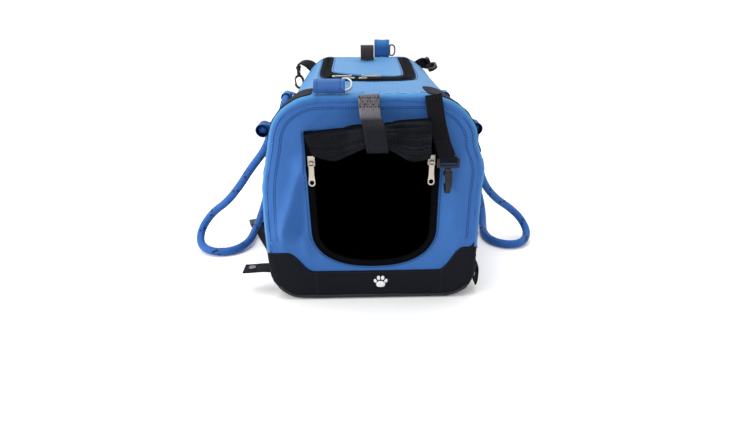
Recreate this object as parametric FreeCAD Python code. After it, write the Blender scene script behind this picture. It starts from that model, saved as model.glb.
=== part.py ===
"""Soft-sided pet carrier bag, in millimetres.

The origin is at the centre of the flat bottom, +Z is up and the front door
faces -Y.  Every sub-part is written to parts/NODE.step.
"""
import FreeCAD, Part
import math
import os

Vec = FreeCAD.Vector
X_AXIS = Vec(1, 0, 0)
Y_AXIS = Vec(0, 1, 0)
Z_AXIS = Vec(0, 0, 1)
SIDES = {"left": -1, "right": 1}

# ---------------------------------------------------------------- driving dimensions
length = 460.0              # front face to back face
width = 280.0
height = 280.0
panel = 5.0                 # padded fabric: shell, foam and lining together
shoulder_radius = 80.0      # the two long top edges
foot_radius = 40.0          # the two long bottom edges
half_length = length / 2
half_width = width / 2
seam_z = height - shoulder_radius       # the side panels end where the shoulders begin
clear = 0.4                 # gap between pieces that move past each other

# black base
band_height = 44.0
guard_height = 75.0
guard_inner = 86.0          # where a corner guard starts to rise, from the centre plane
guard_outer = 112.0         # where it reaches its full height
side_guard_inner = half_length - 54
side_guard_outer = half_length - 26
piping = 5.0                # width of the edge piping
piping_proud = 2.0

# inner structure
frame_wire = 5.0            # spring steel hoops inside the front and back edges
frame_inset = 12.0
board = 3.0
board_half_width = 100.0
pad_top = 26.0
inner_end = half_length - panel - 8     # board and pad stop short of the hoops

# front doorway and its zip
door_top = 236.0
door_bottom = 50.0
door_half_top = 81.0
door_half_low = 78.0
door_low_z = 98.0
door_corner = 44.0
tape = 8.0                  # visible width of the zip tape
tape_thick = 1.5
front_slider_z = 199.0
front_slider_x = 75.2
eye_radius = 2.2            # ring on a slider that holds its pull
pin_radius = 0.7

front_pull_y = -half_length - 3.6      # pin of each front pull
front_pull_z = front_slider_z - 2

# top hatch
hatch_half = 82.0
hatch_front = -104.0
hatch_hinge = 205.0
hatch_corner = 45.0
tape_half = 11.0            # each half of the wide top zip
flap_thick = 4.0
coil_gap = 0.6
top_slider_x = {"left": -26.0, "right": -8.0}
top_pull_z = height + clear + 1.4 + 2.2

# side windows
window_half = 140.0
window_low = 92.0
window_high = 180.0
window_corner = 22.0
binding = 9.0

# rope handles
rope = 12.7
tunnel_outer = 19.0
tunnel_bore = 13.6
tunnel_length = 22.0
handle_x = half_width + 8.0       # axis on which each rope handle swings
handle_z = 218.0
anchor_y = 134.0
left_route = [
    (-148, -141, 218), (-148, -107, 218), (-147, -81, 198), (-161, -67, 169), (-186, -60, 139),
    (-209, -52, 106), (-235, -41, 75), (-265, -32, 52), (-283, -45, 27), (-279, -72, 10),
    (-252, -91, 6.6), (-221, -86, 6.6), (-202, -60, 8.5), (-200, -23, 9.5), (-197, 14, 15),
    (-191, 44, 34), (-183, 62, 66), (-173, 70, 102), (-163, 71, 138), (-156, 72, 172),
    (-151, 83, 201), (-148, 108, 218), (-148, 141, 218),
]
right_route = [
    (148, -141, 218), (148, -107, 218), (151, -80, 200), (163, -69, 169), (176, -64, 137),
    (190, -58, 104), (215, -47, 76), (244, -30, 54), (268, -26, 31), (275, -47, 13), (259, -73, 7),
    (231, -79, 6.6), (208, -61, 6.6), (202, -28, 7.5), (208, 3, 10), (213, 31, 22), (211, 53, 46),
    (201, 65, 76), (188, 69, 108), (174, 71, 139), (160, 72, 172), (151, 83, 201), (148, 108, 218),
    (148, 141, 218),
]

# webbing
webbing = 25.0
narrow_webbing = 20.0
webbing_thick = 2.0

# plastic snap hook on each carrying strap, in its own frame: rail along X, hook towards -Z
rail_wire = 4.0
bail_width = 27.0
bail_leg = 3.0
bail_drop = 9.5
boss_length = 2.0
collar = 7.5
hook_centre = -28.5
hook_half_y = 10.5
hook_half_z = 14.5
hook_hole_y = 6.3
hook_hole_z = 10.0
hook_thick = 9.0
hook_tip_thick = 5.0
pivot_drop = 8.0            # gate pivot, below the middle of the hook

# fabric tabs with D-rings
ring_wire = 3.2

# press-stud tabs that keep the folded carrier shut
snap_front = -213.0
snap_width = 25.0
stud_diameter = 10.0


# ---------------------------------------------------------------- shared helpers
def rounded_edges(points, radii, closed):
    """Straight runs through the points, joined by tangent arcs."""
    points = [Vec(*p) for p in points]
    count = len(points)
    starts = list(points)
    ends = list(points)
    arcs = [None] * count
    for i in range(count):
        if radii[i] <= 0 or (not closed and i in (0, count - 1)):
            continue
        before = (points[i - 1] - points[i]).normalize()
        after = (points[(i + 1) % count] - points[i]).normalize()
        half_turn = (math.pi - before.getAngle(after)) / 2
        reach = radii[i] * math.tan(half_turn)
        inward = (before + after).normalize()
        middle = points[i] + inward * (radii[i] / math.cos(half_turn) - radii[i])
        starts[i] = points[i] + before * reach
        ends[i] = points[i] + after * reach
        arcs[i] = Part.Arc(starts[i], middle, ends[i])
    edges = []
    for i in range(count):
        if arcs[i]:
            edges.append(arcs[i].toShape())
        if i < count - 1 or closed:
            target = starts[(i + 1) % count]
            if ends[i].distanceToPoint(target) > 1e-6:
                edges.append(Part.LineSegment(ends[i], target).toShape())
    return edges


def rounded_face(points, radii):
    return Part.Face(Part.Wire(rounded_edges(points, radii, True)))


def prism(points, radii, direction):
    return rounded_face(points, radii).extrude(direction)


def block(x0, x1, y0, y1, z0, z1):
    return Part.makeBox(x1 - x0, y1 - y0, z1 - z0, Vec(x0, y0, z0))


def rod(start, end, diameter):
    start = Vec(*start)
    along = Vec(*end) - start
    return Part.makeCylinder(diameter / 2, along.Length, start, along)


def swept(edges, diameter):
    """A round tube along a smooth path."""
    path = Part.Wire(edges)
    first = path.OrderedEdges[0]
    start = first.valueAt(first.FirstParameter)
    along = first.tangentAt(first.FirstParameter)
    circle = Part.Circle(start, along, diameter / 2).toShape()
    return path.makePipeShell([Part.Wire(circle)], True, False)


def strip(points, thickness):
    """Outline of a ribbon seen edge-on: the points are the middle of its thickness."""
    near = []
    far = []
    for i, (u, v) in enumerate(points):
        u0, v0 = points[max(i - 1, 0)]
        u1, v1 = points[min(i + 1, len(points) - 1)]
        run = math.hypot(u1 - u0, v1 - v0)
        nu = -(v1 - v0) / run * thickness / 2
        nv = (u1 - u0) / run * thickness / 2
        near.append((u + nu, v + nv))
        far.append((u - nu, v - nv))
    return near + far[::-1]


def ribbon_x(points, thickness, x0, x1):
    """A ribbon whose path lies in YZ and whose width runs from x0 to x1."""
    outline = [(x0, y, z) for y, z in strip(points, thickness)]
    return prism(outline, [0] * len(outline), X_AXIS * (x1 - x0))


def ribbon_y(points, thickness, y0, y1):
    """A ribbon whose path lies in XZ and whose width runs from y0 to y1."""
    outline = [(x, y0, z) for x, z in strip(points, thickness)]
    return prism(outline, [0] * len(outline), Y_AXIS * (y1 - y0))


def group(solids):
    return Part.makeCompound(solids)


def placed(shape, origin, x_dir, z_dir):
    """Move a shape from its own frame to one with the given X and Z directions."""
    rotation = FreeCAD.Rotation(Vec(*x_dir), Vec(0, 0, 0), Vec(*z_dir), "ZXY")
    moved = shape.copy()
    moved.Placement = FreeCAD.Placement(Vec(*origin), rotation)
    return moved


# ---------------------------------------------------------------- fabric body
def body_outline(inset, y):
    x = half_width - inset
    points = [(-x, y, inset), (x, y, inset), (x, y, height - inset), (-x, y, height - inset)]
    low = foot_radius - inset
    high = shoulder_radius - inset
    return points, [low, low, high, high]


def body_prism(inset, y0, y1):
    points, radii = body_outline(inset, y0)
    return prism(points, radii, Y_AXIS * (y1 - y0))


def above_guards(inner, outer, reach, place, direction):
    """Everything above the black base: its edge is low in the middle and rises to the corners."""
    top = height + 10
    profile = [
        (-reach, guard_height), (-outer, guard_height), (-inner, band_height),
        (inner, band_height), (outer, guard_height), (reach, guard_height), (reach, top),
        (-reach, top),
    ]
    radii = [0, 20, 14, 14, 20, 0, 0, 0]
    return prism([place(u, z) for u, z in profile], radii, direction)


def fabric_shell():
    """The carrier's walls, split into its two ends and the tube between them."""
    outer = body_prism(0, -half_length, half_length)
    inner = body_prism(panel, -half_length + panel, half_length - panel)
    shell = outer.cut(inner)
    reach = half_width + 10
    front = shell.common(block(-reach, reach, -half_length, -half_length + panel, 0, height))
    back = shell.common(block(-reach, reach, half_length - panel, half_length, 0, height))
    tube = shell.common(block(-reach, reach, -half_length + panel, half_length - panel, 0, height))
    return front, back, tube


def base_shell(front, back, tube, above_ends, above_sides):
    ends = front.fuse(back).cut(above_ends)
    return ends.fuse(tube.cut(above_sides)).removeSplitter()


def doorway_outline(inset, y):
    points = [
        (-door_half_top + inset, y, door_top), (-door_half_low + inset, y, door_low_z),
        (-door_half_low + inset + 4, y, door_bottom + inset),
        (door_half_low - inset - 4, y, door_bottom + inset),
        (door_half_low - inset, y, door_low_z), (door_half_top - inset, y, door_top),
    ]
    corner = door_corner - inset
    return points, [0, 30, corner - 4, corner - 4, 30, 0]


def doorway(inset, y0, y1):
    points, radii = doorway_outline(inset, y0)
    return prism(points, radii, Y_AXIS * (y1 - y0))


def hatch(inset, y_back, z0, z1):
    x = hatch_half - inset
    front = hatch_front + inset
    points = [(-x, y_back, z0), (-x, front, z0), (x, front, z0), (x, y_back, z0)]
    corner = hatch_corner - inset * 0.8
    return prism(points, [0, corner, corner, 0], Z_AXIS * (z1 - z0))


def window(inset, x0, x1):
    half = window_half - inset
    low = window_low + inset
    high = window_high - inset
    points = [(x0, -half, low), (x0, half, low), (x0, half, high), (x0, -half, high)]
    return prism(points, [window_corner - inset] * 4, X_AXIS * (x1 - x0))


def edge_piping():
    """A flat piping round the edge of each end, black below the guards and blue above."""
    low = []
    high = []
    reach = half_width + 10
    for y in (-half_length - piping_proud, half_length):
        ring = body_prism(0, y, y + piping_proud).cut(body_prism(piping, y, y + piping_proud))
        low.append(ring.common(block(-reach, reach, y, y + piping_proud, 0, guard_height)))
        high.append(ring.common(block(-reach, reach, y, y + piping_proud, guard_height, height)))
    return group(low), group(high)


def corner_patches():
    """Black cloth over the shoulders, next to the front seam."""
    thick = 1.2
    patches = []
    outer = Part.makeCylinder(shoulder_radius + thick, length, Vec(0, 0, 0), Y_AXIS)
    inner = Part.makeCylinder(shoulder_radius, length, Vec(0, 0, 0), Y_AXIS)
    ring = outer.cut(inner)
    for side in SIDES.values():
        centre_x = side * (half_width - shoulder_radius)
        shell = ring.copy()
        shell.translate(Vec(centre_x, -half_length, seam_z))
        x0, x1 = sorted((side * 71, side * (half_width + 2)))
        y0 = -half_length
        patches.append(shell.common(block(x0, x1, y0, y0 + 62, seam_z + 28, height + 2)))
    return group(patches)


# ---------------------------------------------------------------- inside
def hoop(y):
    """Closed spring-wire hoop that keeps one end of the bag in shape."""
    points, radii = body_outline(frame_inset, y)
    return swept(rounded_edges(points, radii, True), frame_wire)


def floor_pad():
    low = panel + board
    profile = [(-106, low), (106, low), (121, 20), (123, pad_top), (-123, pad_top), (-121, 20)]
    points = [(x, -inner_end, z) for x, z in profile]
    return prism(points, [0, 0, 6, 3, 3, 6], Y_AXIS * (2 * inner_end))


# ---------------------------------------------------------------- zips
def pull_eye(centre, axis, keep):
    """Ring that carries a pull's pin; keep is the block of it that stands clear of the slider."""
    centre = Vec(*centre)
    outer = Part.makeCylinder(eye_radius, 4, centre - axis * 2, axis)
    return outer.cut(Part.makeCylinder(eye_radius / 2, 4, centre - axis * 2, axis)).common(keep)


def front_slider(side):
    """Two plates with a neck between them, round the inner edge of the tape."""
    x = side * front_slider_x
    z0 = front_slider_z - 6.5
    z1 = front_slider_z + 6.5
    tape_front = -half_length + 1
    tape_back = tape_front + tape_thick
    face = block(x - 4.4, x + 4.4, tape_front - clear - 2, tape_front - clear, z0, z1)
    back = block(x - 4.4, x + 4.4, tape_back + clear, tape_back + clear + 1.4, z0, z1)
    neck_x0, neck_x1 = sorted((x - side * 4.4, x - side * 3.2))
    neck = block(neck_x0, neck_x1, tape_front - 1, tape_back + 1, z0 + 3, z1)
    keep = block(x - 3, x + 3, front_pull_y - 4, tape_front - clear, z0, z1)
    eye = pull_eye((x, front_pull_y, front_pull_z), X_AXIS, keep)
    return face.fuse([back, neck, eye]).removeSplitter()


def puller_plate(drop):
    """Zip pull in its own frame: pin along X at the origin, plate hanging down."""
    outline = [
        (-3.2, -0.8, 0.9), (-3.3, -0.8, -drop / 2), (-4.8, -0.8, -drop), (4.8, -0.8, -drop),
        (3.3, -0.8, -drop / 2), (3.2, -0.8, 0.9),
    ]
    plate = prism(outline, [0.5, 20, 4.2, 4.2, 20, 0.5], Y_AXIS * 1.6)
    hole = Part.makeCylinder(3.0, 4, Vec(0, -2, -drop + 4.8), Y_AXIS)
    fork = block(-2.4, 2.4, -2, 2, -3.2, 2)
    pin = Part.makeCylinder(pin_radius, 6, Vec(-3, 0, 0), X_AXIS)
    return plate.cut(group([hole, fork])).fuse(pin).removeSplitter()


def top_slider(side_name):
    """Slider on the front run of the hatch zip; the coil runs along X."""
    x = top_slider_x[side_name]
    y = hatch_front + tape_half
    z = height + clear
    corners = [(x - 6, y - 4.5, z), (x + 6, y - 4.5, z), (x + 6, y + 4.5, z), (x - 6, y + 4.5, z)]
    body = prism(corners, [2, 2, 2, 2], Z_AXIS * 1.4)
    keep = block(x - 3, x + 3, y - 3, y + 3, z + 1, z + 8)
    eye = pull_eye((x, y, top_pull_z), Y_AXIS, keep)
    return body.fuse(eye).removeSplitter()


# ---------------------------------------------------------------- webbing and tabs
def rolled_door():
    """The mesh door rolled up above the doorway: a fat uneven roll."""
    sections = []
    for x, depth, low, high in ((-80, 20, 209, 235), (-5, 36, 206, 249), (70, 31, 208, 252)):
        face = -half_length - 0.6
        points = [(x, face, low), (x, face, high), (x, face - depth, high), (x, face - depth, low)]
        sections.append(Part.Wire(rounded_edges(points, [3, 8, 9, 9], True)))
    return Part.makeLoft(sections, True, True)


def front_roll_strap():
    """Webbing sewn to the top seam, round the front of the rolled door."""
    face = -half_length - piping_proud - 1.2
    path = [
        (face, height + 1), (face - 0.5, 262), (-242, 254.5), (-262, 253.5), (-271, 246),
        (-272.5, 228), (-270, 210), (-262, 203),
    ]
    strap = ribbon_x(path, webbing_thick, -webbing / 2, webbing / 2)
    strap.translate(X_AXIS * 1.5)
    return strap


def top_roll_strap():
    """Closed webbing loop that stands on the rear end of the hatch flap."""
    x = -9.0
    outer = [(x, 160, height), (x, 177, height), (x, 177, height + 27), (x, 160, height + 27)]
    inner = [
        (x, 162, height + 2), (x, 175, height + 2), (x, 175, height + 25), (x, 162, height + 25),
    ]
    loop = prism(outer, [2, 2, 8, 8], X_AXIS * webbing)
    return loop.cut(prism(inner, [1, 1, 6, 6], X_AXIS * webbing))


def ring_tab(x0, x1, wide, thick, bar_x):
    """Folded fabric tab in its own frame, standing on Z=0, with a channel for the ring's bar."""
    points = [(x0, -thick / 2, 0), (x1, -thick / 2, 0), (x1, thick / 2, 0), (x0, thick / 2, 0)]
    tab = prism(points, [1, 3, 3, 1], Z_AXIS * wide)
    return tab.cut(rod((bar_x, 0, -1), (bar_x, 0, wide + 1), ring_wire + 2 * clear))


def d_ring(bar_x, low, high, bow):
    """D-ring in the tab's frame: straight bar along Z, bow towards +X."""
    points = [(bar_x, 0, low), (bar_x, 0, high), (bar_x + bow, 0, high), (bar_x + bow, 0, low)]
    corner = min((high - low) / 2 - 0.5, bow - 3.4)
    return swept(rounded_edges(points, [3, 3, corner, corner], True), ring_wire)


# ---------------------------------------------------------------- snap hook
def hook_bail():
    """Rail for the webbing, two legs and a crossbar with the swivel post."""
    half = bail_width / 2
    rail = rod((-half, 0, 0), (half, 0, 0), rail_wire)
    legs = []
    for side in (-1, 1):
        x0, x1 = sorted((side * (half - bail_leg), side * half))
        leg = prism(
            [(x0, -2.5, -bail_drop), (x0, 2.5, -bail_drop), (x0, 2.5, 2), (x0, -2.5, 2)],
            [0, 0, 2, 2], X_AXIS * (x1 - x0))
        legs.append(leg)
    crossbar = block(-half, half, -2.5, 2.5, -bail_drop, -bail_drop + 3)
    post = rod((0, 0, -bail_drop - 6), (0, 0, -bail_drop), 3.0)
    head = rod((0, 0, -bail_drop - 6), (0, 0, -bail_drop - 4.6), 4.6)
    return rail.fuse(legs + [crossbar, post, head]).removeSplitter()


def ellipse_prism(half_y, half_z, centre_z, thick):
    ring = Part.Ellipse(Vec(0, 0, half_z), Vec(0, half_y, 0), Vec(0, 0, 0)).toShape()
    face = Part.Face(Part.Wire(ring))
    face.translate(Vec(-thick / 2, 0, centre_z))
    return face.extrude(X_AXIS * thick)


def hook_body():
    """Hook that turns on the swivel post, with a gap that the gate closes."""
    top = -bail_drop - boss_length
    ring = ellipse_prism(hook_half_y, hook_half_z, hook_centre, hook_thick)
    ring = ring.cut(ellipse_prism(hook_hole_y, hook_hole_z, hook_centre, hook_thick))
    collar_block = rod((0, 0, top - 7.5), (0, 0, top + 1.4), collar)
    body = ring.fuse(collar_block)
    body = body.cut(ellipse_prism(hook_hole_y, hook_hole_z, hook_centre, hook_thick))
    taper = [
        (-hook_thick / 2, -12, 0), (hook_thick / 2, -12, 0), (hook_thick / 2, -12, -20),
        (hook_tip_thick / 2, -12, -45), (-hook_tip_thick / 2, -12, -45), (-hook_thick / 2, -12, -20),
    ]
    body = body.common(prism(taper, [0, 0, 0, 0, 0, 0], Y_AXIS * 24))
    post_room = rod((0, 0, -bail_drop - 6.3), (0, 0, 0), 3.2)
    head_room = rod((0, 0, -bail_drop - 6.3), (0, 0, -bail_drop - 4.3), 4.9)
    pivot_z = hook_centre - pivot_drop
    gap = block(-hook_thick, hook_thick, 3, 12, hook_centre - 5, hook_centre + 7)
    slot = block(-1.4, 1.4, 2, 12, pivot_z - 2.6, hook_centre - 4)
    pin = rod((-2.4, 6.4, pivot_z), (2.4, 6.4, pivot_z), 1.4)
    body = body.cut(group([post_room, head_room])).cut(gap).cut(slot)
    return body.fuse(pin).removeSplitter()


def hook_gate():
    """Sprung tongue that closes the hook's gap and turns on a pin at its foot."""
    pivot_z = hook_centre - pivot_drop
    points = [
        (-1, 4.6, pivot_z - 1.8), (-1, 8.2, pivot_z - 1.8), (-1, 9.6, hook_centre + 6.6),
        (-1, 7.2, hook_centre + 6.6),
    ]
    gate = prism(points, [1.6, 1.6, 0.6, 0.6], X_AXIS * 2)
    return gate.cut(rod((-2, 6.4, pivot_z), (2, 6.4, pivot_z), 1.56))


def webbing_loop(width_here):
    """End of a strap, sewn round the bail's rail, in the hook's frame."""
    half = width_here / 2
    outer = rod((-half, 0, 0), (half, 0, 0), rail_wire + 1 + 2 * webbing_thick)
    return outer.cut(rod((-half, 0, 0), (half, 0, 0), rail_wire + 1))


# rail centre, rail direction and upward direction of each hook
HOOKS = {
    "front_right": ((94.0, -245.0, 203.0), (1, 0, 0), (0, 0, 1)),
    "rear_left": ((-135.0, 247.0, 258.0), (0, 1, 0), (0, 0, 1)),
    "rear_right": ((131.0, 243.0, 266.0), (0.4501, 0.2001, -0.8703), (-0.1016, 0.9797, 0.1727)),
}
# centre of each cross-section of the rear straps, with the directions of their width and run
REAR_SECTIONS = {
    "rear_left": [
        ((-106, 233.4, 266), (0.80, 0, 0.60), (-0.60, 0, 0.80)),
        ((-114, 238, 273), (0.64, 0.50, 0.58), (-0.75, 0.30, 0.55)),
        ((-127, 244, 273), (0.25, 0.92, 0.20), (-0.90, 0.20, -0.30)),
        ((-135, 247, 261.5), (0, 1, 0), (0, 0, -1)),
    ],
    "rear_right": [
        ((108, 234.2, 262.5), (0.70, 0.05, -0.71), (0.70, 0.10, 0.70)),
        ((117, 238, 267), (0.58, 0.12, -0.80), (0.85, 0.25, 0.45)),
        ((127.9, 243, 264.4), (0.4501, 0.2001, -0.8703), (0.8872, 0.0107, 0.4613)),
    ],
}


def front_right_strap():
    """Hangs down the front panel from the top seam, leaning to the right."""
    origin, x_dir, z_dir = HOOKS["front_right"]
    face = -half_length - piping_proud - 1.2
    path = [(face, height), (face - 0.5, 262), (-236.5, 240), (-242, 220), (-245, 206)]
    lean = math.degrees(math.atan2(18, height - origin[2]))
    half = narrow_webbing / 2
    band = ribbon_x(path, webbing_thick, origin[0] - half, origin[0] + half)
    band.rotate(Vec(*origin), Y_AXIS, -lean)
    rail_room = rod((60, origin[1], origin[2]), (130, origin[1], origin[2]), rail_wire + 1)
    loop = placed(webbing_loop(narrow_webbing), origin, x_dir, z_dir)
    return band.cut(rail_room).fuse(loop).removeSplitter()


def rear_strap(name):
    """Sewn along the curved back seam, twisting as it runs out to its hook."""
    origin, x_dir, z_dir = HOOKS[name]
    outlines = []
    for centre, across, along in REAR_SECTIONS[name]:
        normal = Vec(*along).cross(Vec(*across)).normalize() * (webbing_thick / 2)
        side = Vec(*across).normalize() * (narrow_webbing / 2)
        corners = [Vec(*centre) + side * i + normal * j for i, j in ((-1, -1), (1, -1), (1, 1), (-1, 1))]
        outlines.append(Part.makePolygon(corners + corners[:1]))
    band = Part.makeLoft(outlines, True, True)
    loop = placed(webbing_loop(narrow_webbing), origin, x_dir, z_dir)
    return band.fuse(loop).removeSplitter()


# ---------------------------------------------------------------- side pieces
def handle_tunnels():
    tunnels = []
    for side in SIDES.values():
        for end in (-1, 1):
            y0 = end * anchor_y - tunnel_length / 2
            tube = Part.makeCylinder(
                tunnel_outer / 2, tunnel_length, Vec(side * handle_x, y0, handle_z), Y_AXIS)
            bore = Part.makeCylinder(
                tunnel_bore / 2, tunnel_length, Vec(side * handle_x, y0, handle_z), Y_AXIS)
            x0, x1 = sorted((side * (half_width - 2.3), side * (handle_x - 7.2)))
            root = block(x0, x1, y0, y0 + tunnel_length, handle_z + 2, handle_z + 5)
            tunnels.append(tube.fuse(root).cut(bore).cut(body_prism(0, -200, 200)))
    return group(tunnels)


def cord_tube(route):
    """Rope along straight runs joined by the largest tangent arcs that the runs allow."""
    points = [Vec(*p) for p in route]
    runs = [points[i].distanceToPoint(points[i + 1]) for i in range(len(points) - 1)]
    radii = [0.0]
    for i in range(1, len(points) - 1):
        before = points[i - 1] - points[i]
        after = points[i + 1] - points[i]
        half_turn = (math.pi - before.getAngle(after)) / 2
        radii.append(0.45 * min(runs[i - 1], runs[i]) / math.tan(half_turn))
    radii.append(0.0)
    edges = rounded_edges(route, radii, False)
    return swept(edges, rope)


def snap_tab_left():
    """Sticks straight out, with a slanted end."""
    x0 = -half_width - 1.2
    y1 = snap_front + snap_width
    points = [
        (x0, snap_front, 33), (x0, y1, 33), (-175, y1, 33), (-182, snap_front, 33),
    ]
    tab = prism(points, [0, 0, 3, 2], Z_AXIS * webbing_thick)
    hole = Part.makeCylinder(2, 6, Vec(-168, snap_front + snap_width / 2, 31), Z_AXIS)
    return tab.cut(hole)


def snap_stud_left():
    y = snap_front + snap_width / 2
    cap = Part.makeCylinder(stud_diameter / 2, 1.4, Vec(-168, y, 35), Z_AXIS)
    post = Part.makeCylinder(2, 2, Vec(-168, y, 33), Z_AXIS)
    ring = Part.makeCylinder(4, 1.2, Vec(-168, y, 31.8), Z_AXIS)
    return cap.fuse([post, ring]).removeSplitter()


def snap_tab_right():
    """Hangs down beside the base, bowed outwards."""
    path = [(half_width + 2.4, 52), (147, 45), (150.5, 34), (150.5, 14), (148.5, 8)]
    tab = ribbon_y(path, webbing_thick, snap_front, snap_front + snap_width)
    y = snap_front + snap_width / 2
    return tab.cut(Part.makeCylinder(2, 12, Vec(144, y, 22), X_AXIS))


def snap_stud_right():
    y = snap_front + snap_width / 2
    cap = Part.makeCylinder(stud_diameter / 2, 1.4, Vec(148.1, y, 22), X_AXIS)
    post = Part.makeCylinder(2, 4, Vec(148.6, y, 22), X_AXIS)
    ring = Part.makeCylinder(4, 1.2, Vec(151.5, y, 22), X_AXIS)
    return cap.fuse([post, ring]).removeSplitter()


def floor_strap():
    """Webbing sewn into the left bottom seam, lying on the floor, with a clip on its end."""
    start = Vec(-125, -151, 0)
    along = Vec(-0.38, 0.925, 0).normalize()
    across = Vec(along.y, -along.x, 0)
    reach = 205.0
    half = webbing / 2
    corners = [
        start - across * half, start + across * half, start + across * half + along * reach,
        start - across * half + along * reach,
    ]
    strap = prism([tuple(p) for p in corners], [0, 0, 0, 0], Z_AXIS * 1.8)
    clip_half = half + 2.5
    low = start + along * (reach - 10)
    corners = [
        low - across * clip_half, low + across * clip_half,
        low + across * clip_half + along * 22, low - across * clip_half + along * 22,
    ]
    clip = prism([tuple(p) for p in corners], [2, 2, 4, 4], Z_AXIS * 7)
    return strap.cut(clip), clip


# ---------------------------------------------------------------- assembly
def make_body(parts):
    front, back, tube = fabric_shell()
    reach = half_width + 10
    above_ends = above_guards(
        guard_inner, guard_outer, reach, lambda u, z: (u, -half_length - 1, z),
        Y_AXIS * (length + 2))
    above_sides = above_guards(
        side_guard_inner, side_guard_outer, half_length + 5, lambda u, z: (-reach, u, z),
        X_AXIS * (2 * reach))
    parts["base_shell"] = base_shell(front, back, tube, above_ends, above_sides)
    door_hole = doorway(0, -half_length - 1, -half_length + panel + 1)
    parts["front_panel"] = front.common(above_ends).cut(door_hole)
    parts["back_panel"] = back.common(above_ends)
    walls = tube.common(above_sides)
    arch = walls.common(block(-reach, reach, -half_length, half_length, seam_z, height))
    parts["top_panel"] = arch.cut(hatch(0, hatch_hinge, height - 10, height + 1))
    for name, side in SIDES.items():
        x0, x1 = sorted((0, side * reach))
        wall = walls.common(block(x0, x1, -half_length, half_length, 0, seam_z))
        x0, x1 = sorted((side * (half_width - panel), side * half_width))
        parts[name + "_side_panel"] = wall.cut(window(0, x0 - 1, x1 + 1))
        parts[name + "_window_mesh"] = window(0, x0 + 2, x1 - 2)
    bindings = []
    for side in SIDES.values():
        x0, x1 = sorted((side * half_width, side * (half_width + 1.5)))
        bindings.append(window(-binding / 2, x0, x1).cut(window(binding / 2, x0, x1)))
    parts["window_bindings"] = group(bindings)
    parts["base_piping"], parts["arch_piping"] = edge_piping()
    parts["corner_patches"] = corner_patches()
    parts["paw_badge"] = prism(
        [(-1, -half_length - 0.8, 15), (25, -half_length - 0.8, 15),
         (25, -half_length - 0.8, 39), (-1, -half_length - 0.8, 39)],
        [3, 3, 3, 3], Y_AXIS * 0.8)


def make_inside(parts):
    hoop_y = half_length - panel - 4
    parts["front_frame"] = hoop(-hoop_y)
    parts["rear_frame"] = hoop(hoop_y)
    parts["base_board"] = block(
        -board_half_width, board_half_width, -inner_end, inner_end, panel, panel + board)
    parts["floor_pad"] = floor_pad()


def make_front_door(parts):
    tape_front = -half_length + 1
    band = doorway(0, tape_front, tape_front + tape_thick)
    parts["front_zip_tape"] = band.cut(doorway(tape, tape_front - 1, tape_front + 5))
    parts["rolled_door"] = rolled_door()
    parts["front_roll_strap"] = front_roll_strap()
    for name, side in SIDES.items():
        parts[name + "_front_slider"] = front_slider(side)
        parts[name + "_front_puller"] = placed(
            puller_plate(30), (side * front_slider_x, front_pull_y, front_pull_z), (1, 0, 0),
            (0, 0, 1))


def make_hatch(parts):
    under = height - tape_thick
    outer_tape = hatch(0, half_length - panel, under, height)
    outer_tape = outer_tape.cut(hatch(tape_half - coil_gap / 2, half_length, under - 1, height + 1))
    parts["top_zip_outer_tape"] = outer_tape.common(
        block(-half_width, half_width, -half_length, hatch_hinge, 0, height))
    flap_edge = tape_half + coil_gap / 2
    back = hatch_hinge - clear
    sheet = hatch(2 * tape_half, back, height - flap_thick, height)
    parts["top_flap"] = sheet
    inner_tape = hatch(flap_edge, back, under, height)
    parts["top_zip_inner_tape"] = inner_tape.cut(hatch(2 * tape_half, half_length, 0, height + 1))
    parts["top_roll_strap"] = top_roll_strap()
    y = hatch_front + tape_half
    for name, x_dir in (("left", -1), ("right", 1)):
        parts[name + "_top_slider"] = top_slider(name)
        parts[name + "_top_puller"] = placed(
            puller_plate(26), (top_slider_x[name], y, top_pull_z), (0, 1, 0), (-x_dir, 0, 0))


def make_tabs(parts):
    lean = math.radians(55)
    up = (0, math.sin(lean), math.cos(lean))
    place = ((0, -229, height + 3.2), (1, 0, 0), up)
    tab = ring_tab(-69, -31, 20, 7, -35).cut(block(-39.5, -30, -5, 5, -1, 5.6))
    parts["front_left_tab"] = placed(tab, *place)
    parts["front_left_ring"] = placed(d_ring(-35, 2.4, 22.2, 11), *place)
    place = ((0, 226, height + 0.2), (1, 0, 0), (0, 0, 1))
    tab = ring_tab(19, 53, 33, 7, 49.5)
    tab = tab.cut(block(45, 60, -5, 5, -1, 5.6)).cut(block(45, 60, -5, 5, 19.4, 40))
    parts["rear_right_tab"] = placed(tab, *place)
    parts["rear_right_ring"] = placed(d_ring(49.5, 2.4, 22.6, 10), *place)


def make_carry_straps(parts):
    bands = {
        "front_right": front_right_strap(),
        "rear_left": rear_strap("rear_left"),
        "rear_right": rear_strap("rear_right"),
    }
    for name, (origin, x_dir, z_dir) in HOOKS.items():
        parts[name + "_strap"] = bands[name]
        parts[name + "_bail"] = placed(hook_bail(), origin, x_dir, z_dir)
        parts[name + "_hook"] = placed(hook_body(), origin, x_dir, z_dir)
        parts[name + "_gate"] = placed(hook_gate(), origin, x_dir, z_dir)


def make_side_pieces(parts):
    parts["handle_tunnels"] = handle_tunnels()
    parts["left_handle_rope"] = cord_tube(left_route)
    parts["right_handle_rope"] = cord_tube(right_route)
    parts["left_snap_tab"] = snap_tab_left()
    parts["left_snap_stud"] = snap_stud_left()
    parts["right_snap_tab"] = snap_tab_right()
    parts["right_snap_stud"] = snap_stud_right()
    parts["floor_strap"], parts["floor_strap_clip"] = floor_strap()


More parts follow.
